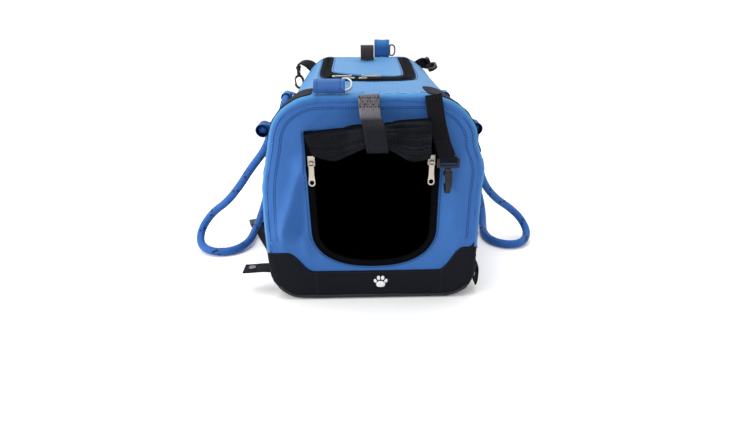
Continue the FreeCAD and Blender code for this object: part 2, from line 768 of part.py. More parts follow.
def main():
    parts = {}
    make_body(parts)
    make_inside(parts)
    make_front_door(parts)
    make_hatch(parts)
    make_tabs(parts)
    make_carry_straps(parts)
    make_side_pieces(parts)
    os.makedirs("parts", exist_ok=True)
    for name, shape in parts.items():
        if not shape.isValid() or not shape.Solids:
            print("bad shape:", name)
        shape.exportStep("parts/%s.step" % name)
    print(len(parts), "nodes")


main()
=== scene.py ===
import math

import bpy
import numpy as np
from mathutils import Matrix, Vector
from mathutils.geometry import delaunay_2d_cdt


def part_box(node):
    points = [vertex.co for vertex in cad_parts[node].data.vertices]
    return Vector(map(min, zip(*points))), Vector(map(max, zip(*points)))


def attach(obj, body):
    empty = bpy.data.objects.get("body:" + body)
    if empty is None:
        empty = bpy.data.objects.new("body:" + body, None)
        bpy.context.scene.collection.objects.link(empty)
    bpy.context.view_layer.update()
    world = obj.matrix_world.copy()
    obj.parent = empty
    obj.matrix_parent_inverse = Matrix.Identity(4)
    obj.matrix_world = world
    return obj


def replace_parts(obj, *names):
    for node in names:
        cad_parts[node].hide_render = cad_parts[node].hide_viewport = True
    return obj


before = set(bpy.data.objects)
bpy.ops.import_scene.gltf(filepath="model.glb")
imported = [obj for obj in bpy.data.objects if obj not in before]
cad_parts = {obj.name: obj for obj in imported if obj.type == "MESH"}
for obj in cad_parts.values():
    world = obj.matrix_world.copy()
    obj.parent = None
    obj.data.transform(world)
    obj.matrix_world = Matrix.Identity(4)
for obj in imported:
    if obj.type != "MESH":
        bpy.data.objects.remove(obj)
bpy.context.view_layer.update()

ROOT = "carrier"
SIDES = (("left", -1), ("right", 1))

# ---------------------------------------------------------------- sizes, in metres
HALF_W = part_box("base_shell")[1].x
HALF_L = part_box("back_panel")[1].y
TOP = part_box("top_panel")[1].z
SHOULDER = 0.080                              # radius of the shoulders
FOOT = 0.040                                  # radius of the lower corners
SEAM_Z = TOP - SHOULDER
FLAT = HALF_W - SHOULDER                      # half the flat of the top
T_SEAM = FLAT + SHOULDER * math.pi / 2        # from the top centre round to the side seam
T_FOOT = T_SEAM + SEAM_Z - FOOT
T_FLOOR = T_FOOT + FOOT * math.pi / 2
T_END = T_FLOOR + HALF_W - FOOT
ROLL = 0.0062                                 # radius of the frame sleeve round each end
END = HALF_L - ROLL
CLOTH = 0.0035                                # padded cloth
LAP = 0.004                                   # how far blue cloth runs under the black base
END_INSET = 0.0052                            # the end cloths stop this far inside the outline
END_HALF = 0.1338                             # half the width of an end cloth at the base
END_T = 0.300                                 # from the top centre round to the base on an end
TUNNEL_X, TUNNEL_Y, TUNNEL_Z = 0.148, 0.134, 0.218
ROPE = 0.0127
WEBBING = 0.0020
TAPE_THICK = 0.0014


# ---------------------------------------------------------------- shader helpers
class Shader:
    """A Principled material and short ways to add nodes to it."""

    def __init__(self, name, color, rough, metallic=0.0, specular=0.5, sheen=0.0):
        self.material = bpy.data.materials.new(name)
        self.material.use_nodes = True
        self.nodes = self.material.node_tree.nodes
        self.links = self.material.node_tree.links
        self.bsdf = self.nodes["Principled BSDF"]
        self.normal = None
        for socket, value in (
            ("Base Color", (*color, 1)), ("Roughness", rough), ("Metallic", metallic),
            ("Specular IOR Level", specular), ("Sheen Weight", sheen), ("Sheen Roughness", 0.4),
        ):
            self.bsdf.inputs[socket].default_value = value
        self.coords = self.nodes.new("ShaderNodeTexCoord")

    def feed(self, socket, value):
        if isinstance(value, bpy.types.NodeSocket):
            self.links.new(value, socket)
        else:
            socket.default_value = value

    def node(self, kind, *plain, **inputs):
        made = self.nodes.new("ShaderNode" + kind)
        for key, value in (*enumerate(plain), *inputs.items()):
            self.feed(made.inputs[key], value)
        return made

    def math(self, operation, a, b=0.0):
        made = self.node("Math", a, b)
        made.operation = operation
        return made.outputs[0]

    def wave(self, value, turn):
        return self.math("SINE", self.math("MULTIPLY", value, turn))

    def noise(self, scale, detail=3.0, distortion=0.0):
        made = self.node("TexNoise", Vector=self.coords.outputs["Object"], Scale=scale, Detail=detail,
                         Distortion=distortion)
        return made.outputs["Fac"]

    def mix(self, fac, a, b):
        made = self.nodes.new("ShaderNodeMix")
        made.data_type = "RGBA"
        self.feed(made.inputs[0], fac)
        for value, socket in ((a, made.inputs[6]), (b, made.inputs[7])):
            self.feed(socket, value if isinstance(value, bpy.types.NodeSocket) else (*value, 1))
        return made.outputs[2]

    def ramp(self, value, low, high):
        made = self.node("MapRange", Value=value)
        made.inputs["From Min"].default_value = low
        made.inputs["From Max"].default_value = high
        return made.outputs[0]

    def bend_normal(self, made):
        self.normal = made.outputs[0]
        self.links.new(self.normal, self.bsdf.inputs["Normal"])

    def bump(self, height, distance, strength):
        made = self.node("Bump", Height=height, Distance=distance, Strength=strength)
        if self.normal:
            self.links.new(self.normal, made.inputs["Normal"])
        self.bend_normal(made)

    def round_edges(self, radius):
        made = self.node("Bevel", Radius=radius)
        made.samples = 4
        self.bend_normal(made)

    def set(self, socket, value):
        self.links.new(value, self.bsdf.inputs[socket])

    def uv_parts(self):
        parts = self.node("SeparateXYZ", Vector=self.coords.outputs["UV"])
        return parts.outputs[0], parts.outputs[1]


def woven(name, light, dark, pitch, rough, sheen=0.0, specular=0.0, fade=None, fade_at=(0.150, 0.205),
          signed=False):
    """Plain-weave cloth: threads in UV metres, colour drift, fine slubs and soft rumples.
    With fade, the colour turns to that pair over the range fade_at of U (or of its size)."""
    s = Shader(name, light, rough, specular=specular, sheen=sheen)
    u, v = s.uv_parts()
    turn = 2 * math.pi / pitch
    weave = s.ramp(s.math("MULTIPLY", s.wave(u, turn), s.wave(v, turn)), -1, 1)
    slub = s.noise(420, 2)
    tone = s.math("ADD", s.math("MULTIPLY", weave, 0.3), s.math("MULTIPLY", slub, 0.35))
    tone = s.math("ADD", tone, s.math("MULTIPLY", s.noise(9, 3), 0.45))
    tone = s.ramp(tone, 0.2, 0.85)
    color = s.mix(tone, dark, light)
    if fade:
        away = s.ramp(u if signed else s.math("ABSOLUTE", u), *fade_at)
        color = s.mix(away, color, s.mix(tone, fade[1], fade[0]))
    s.set("Base Color", color)
    s.set("Roughness", s.math("ADD", s.math("MULTIPLY", slub, 0.25), rough - 0.12))
    s.bump(s.noise(38, 4, 0.7), 0.0012, 0.45)
    s.bump(weave, 0.00025, 0.8)
    return s.material


def webbing(name, light, dark, fade=None):
    """Ribbed woven webbing: U runs across the strap and V along it.
    With fade, the colour turns to that pair along the strap."""
    s = Shader(name, light, 0.5, specular=0.07, sheen=0.01)
    u, v = s.uv_parts()
    ribs = s.math("ABSOLUTE", s.wave(u, math.pi / 0.0021))
    picks = s.math("SINE", s.math("ADD", s.math("MULTIPLY", v, 2 * math.pi / 0.0016),
                                  s.math("MULTIPLY", u, 900.0)))
    height = s.math("ADD", s.math("MULTIPLY", ribs, 0.65), s.math("MULTIPLY", s.ramp(picks, -1, 1), 0.35))
    tone = s.math("ADD", s.math("MULTIPLY", height, 0.6), s.math("MULTIPLY", s.noise(300, 2), 0.5))
    tone = s.ramp(tone, 0.25, 0.95)
    color = s.mix(tone, dark, light)
    if fade:
        color = s.mix(s.ramp(v, 0.020, 0.045), color, s.mix(tone, fade[1], fade[0]))
    s.set("Base Color", color)
    s.bump(height, 0.0005, 0.9)
    return s.material


def netting(name, thread, hole, size, alpha=None):
    """Knitted mesh: raised threads round a grid of small holes."""
    s = Shader(name, thread, 0.6, specular=0.06)
    cells = s.node("TexVoronoi", Vector=s.coords.outputs["UV"], Scale=1 / size, Randomness=0.35)
    cells.feature = "DISTANCE_TO_EDGE"
    strand = s.ramp(cells.outputs["Distance"], 0.30, 0.12)
    # The threads are lighter in random patches.
    patchy_threads = s.mix(s.ramp(s.noise(24, 3), 0.45, 0.75), thread, tuple(c * 3.4 for c in thread))
    # Painted shade: the holes get the near-black hole colour, which stands in for the shade seen through them.
    s.set("Base Color", s.mix(strand, hole, patchy_threads))
    if alpha is not None:
        s.set("Alpha", s.math("ADD", s.math("MULTIPLY", strand, 1 - alpha), alpha))
    s.bump(strand, 0.0006, 0.9)
    s.bump(s.noise(60, 3, 0.5), 0.0015, 0.5)
    return s.material


def moulded(name, color, rough, specular=0.28):
    s = Shader(name, color, rough, specular=specular)
    s.round_edges(0.0007)
    s.set("Roughness", s.math("ADD", s.math("MULTIPLY", s.noise(120, 3), 0.25), rough - 0.1))
    s.bump(s.noise(900, 2), 0.00012, 0.5)
    s.set("Base Color", s.mix(s.ramp(s.noise(45, 4), 0.45, 0.8), color, tuple(c * 2.0 for c in color)))
    return s.material


def cast_metal(name, color, rough):
    s = Shader(name, color, rough, metallic=1.0)
    s.round_edges(0.0004)
    smear = s.noise(90, 4, 0.4)
    s.set("Roughness", s.math("ADD", s.math("MULTIPLY", smear, 0.3), rough - 0.1))
    s.set("Base Color", s.mix(s.ramp(smear, 0.35, 0.75), tuple(c * 0.82 for c in color), color))
    s.bump(s.noise(700, 2), 0.00006, 0.5)
    return s.material


def thread(name, color):
    s = Shader(name, color, 0.6, specular=0.1)
    s.bump(s.noise(1500, 1), 0.0002, 0.7)
    s.set("Base Color", s.mix(s.noise(700, 1), tuple(c * 0.6 for c in color), color))
    return s.material


def plush(name, light, dark):
    s = Shader(name, light, 0.95, specular=0.0)
    tufts = s.noise(260, 4, 0.8)
    s.set("Base Color", s.mix(s.ramp(tufts, 0.35, 0.7), dark, light))
    s.bump(tufts, 0.0022, 0.9)
    return s.material


def fibreboard(name, light, dark):
    s = Shader(name, light, 0.75)
    grain = s.noise(150, 5, 1.5)
    s.set("Base Color", s.mix(grain, dark, light))
    s.bump(grain, 0.0003, 0.5)
    return s.material


def braid(name):
    """Rope cover: the strand colours are stored on the mesh."""
    s = Shader(name, (0.03, 0.12, 0.45), 0.5, specular=0.2, sheen=0.05)
    stored = s.nodes.new("ShaderNodeAttribute")
    stored.attribute_name = "strand"
    fibre = s.noise(900, 2)
    s.set("Base Color", s.mix(s.math("MULTIPLY", fibre, 0.45), stored.outputs["Color"], (0.005, 0.02, 0.08)))
    s.bump(fibre, 0.0003, 0.6)
    return s.material


def oxford(name, light, dark, rough=0.55, sheen=0.05, **fading):
    return woven("oxford_" + name, light, dark, 0.0011, rough, sheen, 0.2, **fading)


ROYAL = (0.036, 0.140, 0.40), (0.017, 0.080, 0.28)
BLUE = oxford("blue", *ROYAL)
# Painted light: the top cloth is painted a lighter sky blue where light from above falls on it, turning to the plain
# blue over the shoulders.
BLUE_PAINTED_LIT_TOP = oxford("blue_painted_lit_top", (0.050, 0.215, 0.44), (0.026, 0.140, 0.34), 0.5, 0.06,
                  fade=((0.034, 0.135, 0.39), (0.016, 0.078, 0.27)))
# Painted highlight: the frame sleeve is painted sky blue on its outward side, where light falls on it.
BLUE_SLEEVE_PAINTED_LIT = oxford("blue_sleeve_painted_lit", *ROYAL, fade=((0.052, 0.215, 0.44), (0.028, 0.140, 0.34)),
                   fade_at=(0.0010, 0.0042), signed=True)
# Painted shade and light: a darker blue that is painted lighter over U from 1 to 11 mm, so a tab is dark on its lower
# side and lighter on top, where light falls.
BLUE_TAB_PAINTED_SHADE = oxford("blue_tab_painted_shade", (0.016, 0.088, 0.29), (0.007, 0.046, 0.19), 0.52,
                  fade=((0.045, 0.200, 0.44), (0.024, 0.125, 0.33)), fade_at=(0.001, 0.011), signed=True)
BLACK = woven("oxford_black", (0.0078, 0.0090, 0.0145), (0.0026, 0.0031, 0.0055), 0.0011, 0.65, specular=0.07)
# Painted shade: the black lining is painted darker than the black shell cloth, standing in for the shade inside the
# bag.
LINING_PAINTED_SHADE = woven("lining_black_painted_shade", (0.0012, 0.0012, 0.0015), (0.0006, 0.0006, 0.0008), 0.0009, 0.9)
TAPE = woven("zip_tape", (0.0040, 0.0044, 0.0064), (0.0015, 0.0017, 0.0027), 0.0008, 0.8, specular=0.03)
STRAP = webbing("webbing_black", (0.0062, 0.0064, 0.0090), (0.0020, 0.0021, 0.0032))
# Painted light and shade: the webbing is painted light grey at its top end and near-black further along, where it
# turns down over the roll into shade.
STRAP_PAINTED_LIT_TO_SHADED = webbing("webbing_painted_lit_to_shaded", (0.185, 0.175, 0.190), (0.085, 0.080, 0.090),
                     fade=((0.0110, 0.0125, 0.0185), (0.0042, 0.0046, 0.0070)))
STRAP_BROWN = webbing("webbing_brown_black", (0.042, 0.034, 0.038), (0.020, 0.016, 0.018))
NET = netting("door_mesh", (0.0048, 0.0053, 0.0078), (0.0004, 0.0004, 0.0006), 0.0027)
WINDOW_NET = netting("window_mesh", (0.010, 0.010, 0.011), (0.002, 0.002, 0.0025), 0.0020, 0.45)
PLASTIC = moulded("moulded_black", (0.0065, 0.0065, 0.0075), 0.36)
COIL = moulded("nylon_coil", (0.0012, 0.0012, 0.0016), 0.62, 0.05)
BINDING = moulded("bound_edge", (0.0070, 0.0072, 0.0090), 0.50)
NICKEL = cast_metal("brushed_nickel", (0.52, 0.47, 0.41), 0.34)
CHROME = cast_metal("ring_steel", (0.34, 0.35, 0.37), 0.24)
DARK_METAL = cast_metal("dark_ring_steel", (0.16, 0.16, 0.17), 0.30)
SPRING = cast_metal("spring_steel", (0.32, 0.33, 0.35), 0.35)
THREAD_BLUE = thread("thread_blue", (0.008, 0.034, 0.16))
THREAD_BLACK = thread("thread_black", (0.020, 0.020, 0.023))
# Painted shade: the pad is painted near-black, standing in for the shade inside the bag.
PLUSH_PAINTED_SHADE = plush("pad_plush", (0.0014, 0.0014, 0.0017), (0.0005, 0.0005, 0.0006))
BOARD = fibreboard("fibreboard", (0.20, 0.14, 0.085), (0.10, 0.065, 0.04))
BRAID = braid("rope_braid")
PRINT = thread("printed_white", (0.82, 0.82, 0.82))


# ---------------------------------------------------------------- mesh helpers
def cols(*parts):
    """Columns side by side; a bare number fills its column."""
    return np.stack(np.broadcast_arrays(*parts), -1).astype(float)


def make_mesh(name, verts, faces, uv=None, materials=(), face_slots=None, body=ROOT, smooth=True):
    mesh = bpy.data.meshes.new(name)
    mesh.from_pydata(np.asarray(verts, float).tolist(), [], [tuple(int(i) for i in f) for f in faces])
    if uv is not None:
        layer = mesh.uv_layers.new(name="UVMap")
        index = np.empty(len(mesh.loops), np.int32)
        mesh.loops.foreach_get("vertex_index", index)
        layer.data.foreach_set("uv", np.asarray(uv, np.float32)[index].ravel())
    for material in materials:
        mesh.materials.append(material)
    if face_slots is not None:
        mesh.polygons.foreach_set("material_index", np.asarray(face_slots, np.int32))
    if smooth:
        mesh.polygons.foreach_set("use_smooth", np.ones(len(mesh.polygons), bool))
    mesh.validate()
    mesh.update()
    made = bpy.data.objects.new(name, mesh)
    bpy.context.scene.collection.objects.link(made)
    if body:
        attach(made, body)
    return made


def tube_faces(rows, around, closed=False):
    """Faces of a tube made of rings of points; an open tube gets a face at each end."""
    faces = []
    for i in range(rows if closed else rows - 1):
        a, b = i * around, (i + 1) % rows * around
        faces += [(a + k, a + (k + 1) % around, b + (k + 1) % around, b + k) for k in range(around)]
    if not closed:
        faces += [tuple(range(around))[::-1], tuple(range((rows - 1) * around, rows * around))]
    return faces


def unit(a):
    a = np.asarray(a, float)
    return a / np.maximum(np.linalg.norm(a, axis=-1, keepdims=True), 1e-12)


def resample(line, count):
    step = np.r_[0, np.cumsum(np.linalg.norm(np.diff(line, axis=0), axis=1))]
    at = np.linspace(0, step[-1], count)
    return np.stack([np.interp(at, step, line[:, k]) for k in range(line.shape[1])], 1)


def smooth_path(points, count):
    """Catmull-Rom curve through the points, sampled evenly."""
    p = np.asarray(points, float)
    p = np.vstack([2 * p[0] - p[1], p, 2 * p[-1] - p[-2]])
    t = np.linspace(0, 1, 24, endpoint=False)[:, None]
    out = []
    for a, b, c, d in zip(p, p[1:], p[2:], p[3:]):
        out.append(0.5 * (2 * b + (c - a) * t + (2 * a - 5 * b + 4 * c - d) * t ** 2
                          + (3 * b - a - 3 * c + d) * t ** 3))
    return resample(np.vstack([*out, p[-2]]), count)


def line_length(line):
    return float(np.linalg.norm(np.diff(line, axis=0), axis=1).sum())


def tangents(line):
    return unit(np.gradient(line, axis=0))


def sweep(name, centres, us, vs, profile, materials, body=ROOT, closed=False, vary=None):
    """Carry a closed profile along the centres; us and vs are the profile's axes there."""
    centres, us, vs = (np.asarray(a, float) for a in (centres, us, vs))
    shape = np.repeat(np.asarray(profile, float)[None], len(centres), 0)
    if vary is not None:
        shape = vary(shape)
    verts = centres[:, None] + us[:, None] * shape[..., :1] + vs[:, None] * shape[..., 1:]
    run = np.r_[0, np.cumsum(np.linalg.norm(np.diff(centres, axis=0), axis=1))]
    uv = cols(profile[:, 0], run[:, None])
    faces = tube_faces(len(centres), len(profile), closed)
    return make_mesh(name, verts.reshape(-1, 3), faces, uv.reshape(-1, 2), materials, body=body)


def strap_profile(width, thick, across=14):
    """Flat strap section with soft rounded edges."""
    half = width / 2
    x = np.linspace(-half + thick * 0.4, half - thick * 0.4, across)
    return np.vstack([[-half, 0], cols(x, thick / 2), [half, 0], cols(x[::-1], -thick / 2)])


def circle_profile(radius, count=20):
    a = np.linspace(0, 2 * math.pi, count, endpoint=False)
    return cols(np.cos(a), np.sin(a)) * radius


def ribbon(name, points, widths, width, thick, material, body=ROOT, count=60):
    """A strap through the points; widths gives its width direction at each of them."""
    line = smooth_path(points, count)
    along = tangents(line)
    normal = unit(np.cross(along, unit(smooth_path(widths, count))))
    return sweep(name, line, np.cross(normal, along), normal, strap_profile(width, thick), [material], body)


def frames_along(line):
    """Directions across a line that don't twist."""
    t = tangents(line)
    u = np.empty_like(t)
    start = np.cross(t[0], [0, 0, 1])
    if np.linalg.norm(start) < 1e-3:
        start = np.cross(t[0], [1, 0, 0])
    u[0] = unit(start)
    for i in range(1, len(t)):
        u[i] = unit(u[i - 1] - t[i] * (u[i - 1] @ t[i]))
    return u, np.cross(t, u)


def grains(name, places, along, normals, size, material, body=ROOT):
    """Many small capsules in one mesh: stitches, zip teeth.  size is (length, width, height)."""
    along, normals = unit(along), unit(normals)
    ring = ((1, 0), (0.5, 0.87), (-0.5, 0.87), (-1, 0), (-0.5, -0.87), (0.5, -0.87))
    base = np.array([(end * size[0], a * scale * size[1] / 2, b * scale * size[2] / 2)
                     for end, scale in ((-0.5, 0.35), (-0.28, 1), (0.28, 1), (0.5, 0.35)) for a, b in ring])
    verts = (places[:, None] + along[:, None] * base[:, :1]
             + unit(np.cross(normals, along))[:, None] * base[:, 1:2] + normals[:, None] * base[:, 2:])
    faces = np.array([f for f in tube_faces(4, 6) if len(f) == 4])
    ends = np.array([(5, 4, 3, 2, 1, 0), (18, 19, 20, 21, 22, 23)])
    all_faces = [tuple(f + 24 * i) for i in range(len(places)) for f in (*faces, *ends)]
    return make_mesh(name, verts.reshape(-1, 3), all_faces, None, [material], body=body)


def stitch_line(line, normals, pitch, lift=0.0001):
    """Places, directions and normals for a row of stitches along a line on a surface."""
    both = resample(np.hstack([line, normals]), max(3, int(line_length(line) / pitch)))
    points, up = both[:, :3], unit(both[:, 3:])
    return points + up * lift, tangents(points), up


def stitches(name, rows, material, body=ROOT):
    made = [stitch_line(line, normals, 0.0035) for line, normals in rows]
    return grains(name, *(np.vstack(part) for part in zip(*made)), (0.0026, 0.0009, 0.0007), material, body)


def inside(points, polygon):
    """Which 2-D points lie inside a closed polygon."""
    x, y = points.T
    odd = np.zeros(len(points), bool)
    for (x0, y0), (x1, y1) in zip(polygon, np.roll(polygon, -1, 0)):
        if y0 != y1:
            odd ^= ((y0 > y) != (y1 > y)) & (x < (x1 - x0) * (y - y0) / (y1 - y0) + x0)
    return odd


def nearest(points, polygon):
    """Distance of each 2-D point from the polygon's edge."""
    best = np.full(len(points), 9.0)
    for a, b in zip(polygon, np.roll(polygon, -1, 0)):
        d = b - a
        t = np.clip(((points - a) @ d) / max(d @ d, 1e-12), 0, 1)
        best = np.minimum(best, np.linalg.norm(points - a - t[:, None] * d, axis=1))
    return best


def closed_resample(polygon, step):
    line = np.vstack([polygon, polygon[:1]])
    return resample(line, max(8, int(line_length(line) / step)))[:-1]


def panel(name, outline, holes, step, place, thick, materials, body=ROOT):
    """A cut piece of cloth: outline and holes in flat metres, laid on the shape that place gives."""
    loops = [closed_resample(loop, step * 0.8) for loop in (outline, *holes)]
    low, high = loops[0].min(0), loops[0].max(0)
    xs = np.arange(low[0], high[0], step)
    ys = np.arange(low[1], high[1], step * 0.866)
    grid = np.array([(x + (step / 2 if j % 2 else 0), y) for j, y in enumerate(ys) for x in xs])
    keep = np.ones(len(grid), bool)
    for loop in loops:
        keep &= (inside(grid, loop) == (loop is loops[0])) & (nearest(grid, loop) > step * 0.45)
    points, edges = [], []
    for loop in loops:
        first = len(points)
        edges += [(first + i, first + (i + 1) % len(loop)) for i in range(len(loop))]
        points += [tuple(p) for p in loop]
    points += [tuple(p) for p in grid[keep]]
    verts, _, faces, *_ = delaunay_2d_cdt([Vector(p) for p in points], edges, [], 0, 1e-7)
    flat = np.array([(v.x, v.y) for v in verts])
    faces = np.array([f for f in faces if len(f) == 3])
    middle = flat[faces].mean(1)
    good = inside(middle, loops[0])
    for loop in loops[1:]:
        good &= ~inside(middle, loop)
    faces = faces[good]
    outer, normals = place(*flat.T)
    a, b, c = (outer[faces[:, k]] for k in range(3))
    if np.einsum("ij,ij->i", np.cross(b - a, c - a), normals[faces[:, 0]]).sum() < 0:
        faces = faces[:, ::-1]
    n = len(flat)
    sides = {(int(f[k]), int(f[(k + 1) % 3])): None for f in faces for k in range(3)}
    rim = [(i, j) for i, j in sides if (j, i) not in sides]
    every = [tuple(f) for f in faces] + [tuple(f[::-1] + n) for f in faces]
    every += [(j, i, i + n, j + n) for i, j in rim]
    slots = [0] * len(faces) + [len(materials) - 1] * len(faces) + [0] * len(rim)
    verts = np.vstack([outer, outer - normals * thick])
    return make_mesh(name, verts, every, np.vstack([flat, flat]), materials, slots, body)


# ---------------------------------------------------------------- the bag's surface
def ring_point(t, inset=0.0):
    """Point and outward normal of the end outline, t metres round from the top centre."""
    t = np.asarray(t, float)
    side = np.sign(t) + (t == 0)
    a = np.abs(t)
    high = (a - FLAT) / SHOULDER
    low = (a - T_FOOT) / FOOT
    parts = [a <= FLAT, a <= T_SEAM, a <= T_FOOT, a <= T_FLOOR]
    x = np.select(parts, [a, FLAT + SHOULDER * np.sin(high), HALF_W + 0 * a,
                          HALF_W - FOOT + FOOT * np.cos(low)], HALF_W - FOOT - (a - T_FLOOR))
    z = np.select(parts, [TOP + 0 * a, SEAM_Z + SHOULDER * np.cos(high), SEAM_Z - (a - T_SEAM),
                          FOOT - FOOT * np.sin(low)], 0 * a)
    nx = np.select(parts, [0 * a, np.sin(high), 1 + 0 * a, np.cos(low)], 0 * a)
    nz = np.select(parts, [1 + 0 * a, np.cos(high), 0 * a, -np.sin(low)], -1 + 0 * a)
    return side * (x - nx * inset), z - nz * inset, side * nx, nz


def bell(x, centre, width):
    return np.exp(-((x - centre) / width) ** 2)


def ease(x):
    x = np.clip(x, 0, 1)
    return x * x * (3 - 2 * x)


def wander(a, b, seed, scale):
    """Smooth repeatable unevenness, about -1 to 1."""
    total = 0
    for k in range(1, 5):
        f = k / scale
        total = total + (np.sin(a * f * (1.3 + 0.17 * k) + seed * k)
                         * np.cos(b * f * (0.9 + 0.23 * k) + seed * 1.7 * k) / k)
    return total / 1.6


def fold(a, b, start, end, height, near, far):
    """A crease along a line: a ridge that falls off differently on its two sides."""
    (a0, b0), (a1, b1) = start, end
    length = math.hypot(a1 - a0, b1 - b0)
    da, db = (a1 - a0) / length, (b1 - b0) / length
    along = ((a - a0) * da + (b - b0) * db) / length
    across = (a - a0) * -db + (b - b0) * da
    width = np.where(across > 0, near, far)
    ends = ease(along / 0.22) * ease((1 - along) / 0.22)
    return height * ends * np.exp(-np.abs(across / width) ** 1.5)


def tube_drop(t, y):
    """How far the cloth sinks between the two end frames; outwards is positive."""
    span = 1 - np.clip(np.abs(y) / END, 0, 1) ** 2
    a = np.abs(t)
    sink = -0.0030 * span * bell(a, 0, 0.11)
    sink = sink - 0.0185 * ease((y + 0.21) / 0.20) * span * bell(t, -0.126, 0.036)
    sink = sink - 0.0025 * span * bell(t, 0.118, 0.045)
    sink = sink - 0.0035 * span * bell(a, 0.25, 0.07)
    gather = np.exp(-(END - np.abs(y)) / 0.016)
    sink = sink + 0.0004 * gather * np.sin(t * 330 + 1.5 * np.sin(t * 41))
    return sink + 0.0009 * wander(t, y, 1.7, 0.055) * np.minimum(1, span * 3)


def front_slouch(t):
    """How far the front frame has leaned out of the plain outline; outwards is positive."""
    out = -0.0090 * bell(t, -0.170, 0.036) - 0.0035 * bell(t, -0.375, 0.030) + 0.0012 * bell(t, -0.270, 0.05)
    out = out + 0.0030 * ease((t - 0.180) / 0.022) * ease((0.395 - t) / 0.03) + 0.0018 * bell(t, 0.207, 0.018)
    return out - 0.0040 * bell(t, 0.166, 0.014) + 0.0010 * bell(t, 0.112, 0.022)


def rear_slouch(t):
    return -0.0085 * bell(t, -0.136, 0.036) + 0.0022 * bell(t, -0.078, 0.016) + 0.0022 * bell(t, 0.080, 0.016)


def end_line(t, inset, rear=False):
    """The end outline as it really hangs: x, z and the outward normal."""
    x, z, nx, nz = ring_point(t, inset)
    out = rear_slouch(t) if rear else front_slouch(t)
    return x + nx * out, z + nz * out, nx, nz


def ring_line(t0, t1, rear=False, count=120):
    return cols(*end_line(np.linspace(t0, t1, count), END_INSET, rear)[:2])


def on_tube(lift=0.0):
    """Lays flat t, y on the top, sides and floor of the bag."""
    def place(t, y):
        x, z, nx, nz = ring_point(t)
        w = (np.clip(y, -END, END) + END) / (2 * END)
        out = tube_drop(t, y) + front_slouch(t) * (1 - w) ** 3 + rear_slouch(t) * w ** 2 + lift
        normals = cols(nx, 0, nz)
        return cols(x, y, z) + normals * out[:, None], normals
    return place


def on_end(side, relief, lift):
    """Lays flat x, z on the front (side -1) or on the back (side 1)."""
    def place(x, z):
        return cols(x, side * (HALF_L - 0.0004 + relief(x, z) + lift), z), cols(0 * x, side, 0)
    return place


FRONT_FOLDS = (
    ((-0.080, 0.214), (-0.124, 0.082), 0.0135, 0.026, 0.007),
    ((-0.083, 0.195), (-0.103, 0.082), -0.0120, 0.008, 0.012),
    ((-0.112, 0.135), (-0.119, 0.070), 0.0030, 0.005, 0.004),
    ((-0.094, 0.110), (-0.084, 0.062), 0.0036, 0.007, 0.005),
    ((0.112, 0.225), (0.104, 0.080), 0.0050, 0.016, 0.010),
    ((0.124, 0.110), (0.108, 0.070), 0.0036, 0.006, 0.005),
    ((-0.075, 0.062), (-0.045, 0.047), 0.0016, 0.005, 0.005),
    ((0.070, 0.058), (0.100, 0.050), 0.0016, 0.005, 0.005),
)


def front_relief(x, z):
    """Puffs and creases of the front cloth, towards the viewer of that end."""
    out = -0.0010 + 0.0016 * bell(np.abs(x), 0.118, 0.012) * ease((z - 0.08) / 0.05)
    out = out + 0.0022 * bell(x, -0.108, 0.03) * bell(z, 0.15, 0.07)
    for crease in FRONT_FOLDS:
        out = out + fold(x, z, *crease)
    out = out - 0.0032 * bell(z, 0.250, 0.012) * bell(x, 0.0, 0.080)
    return out + 0.0009 * wander(x, z, 4.1, 0.035)


def back_relief(x, z):
    out = -0.0010 + 0.0030 * bell(x, 0, 0.09) * bell(z, 0.16, 0.08)
    out = out + fold(x, z, (-0.10, 0.225), (-0.055, 0.085), 0.0030, 0.018, 0.012)
    out = out + fold(x, z, (0.105, 0.20), (0.075, 0.085), 0.0026, 0.014, 0.012)
    return out + 0.0010 * wander(x, z, 7.9, 0.045)


def base_relief(x, z):
    return -0.0006 + 0.0006 * wander(x, z, 2.2, 0.05)


def no_relief(x, z):
    return 0 * x


def on_front(lift=0.0, relief=front_relief):
    return on_end(-1, relief, lift)


def on_back(lift=0.0):
    return on_end(1, back_relief, lift)


def guard_height(x):
    """Top edge of the black base on an end: low in the middle, high at both corners."""
    left = 0.043 + 0.029 * ease((-x - 0.079) / 0.034)
    right = 0.043 + 0.034 * ease((x - 0.092) / 0.032)
    return np.where(x < 0, left, right)


def side_guard(y):
    return 0.044 + 0.031 * ease((np.abs(y) - 0.172) / 0.034)


def side_t(z):
    """From the top centre round to height z on a side."""
    return T_SEAM + SEAM_Z - z


def on_side(sign, line):
    """A line of y, z on a side, as t, y."""
    return cols(sign * side_t(line[:, 1]), line[:, 0])


# ---------------------------------------------------------------- camera, light, floor
def aim(made, target):
    made.rotation_mode = "QUATERNION"
    made.rotation_quaternion = (Vector(target) - made.location).to_track_quat("-Z", "Y")


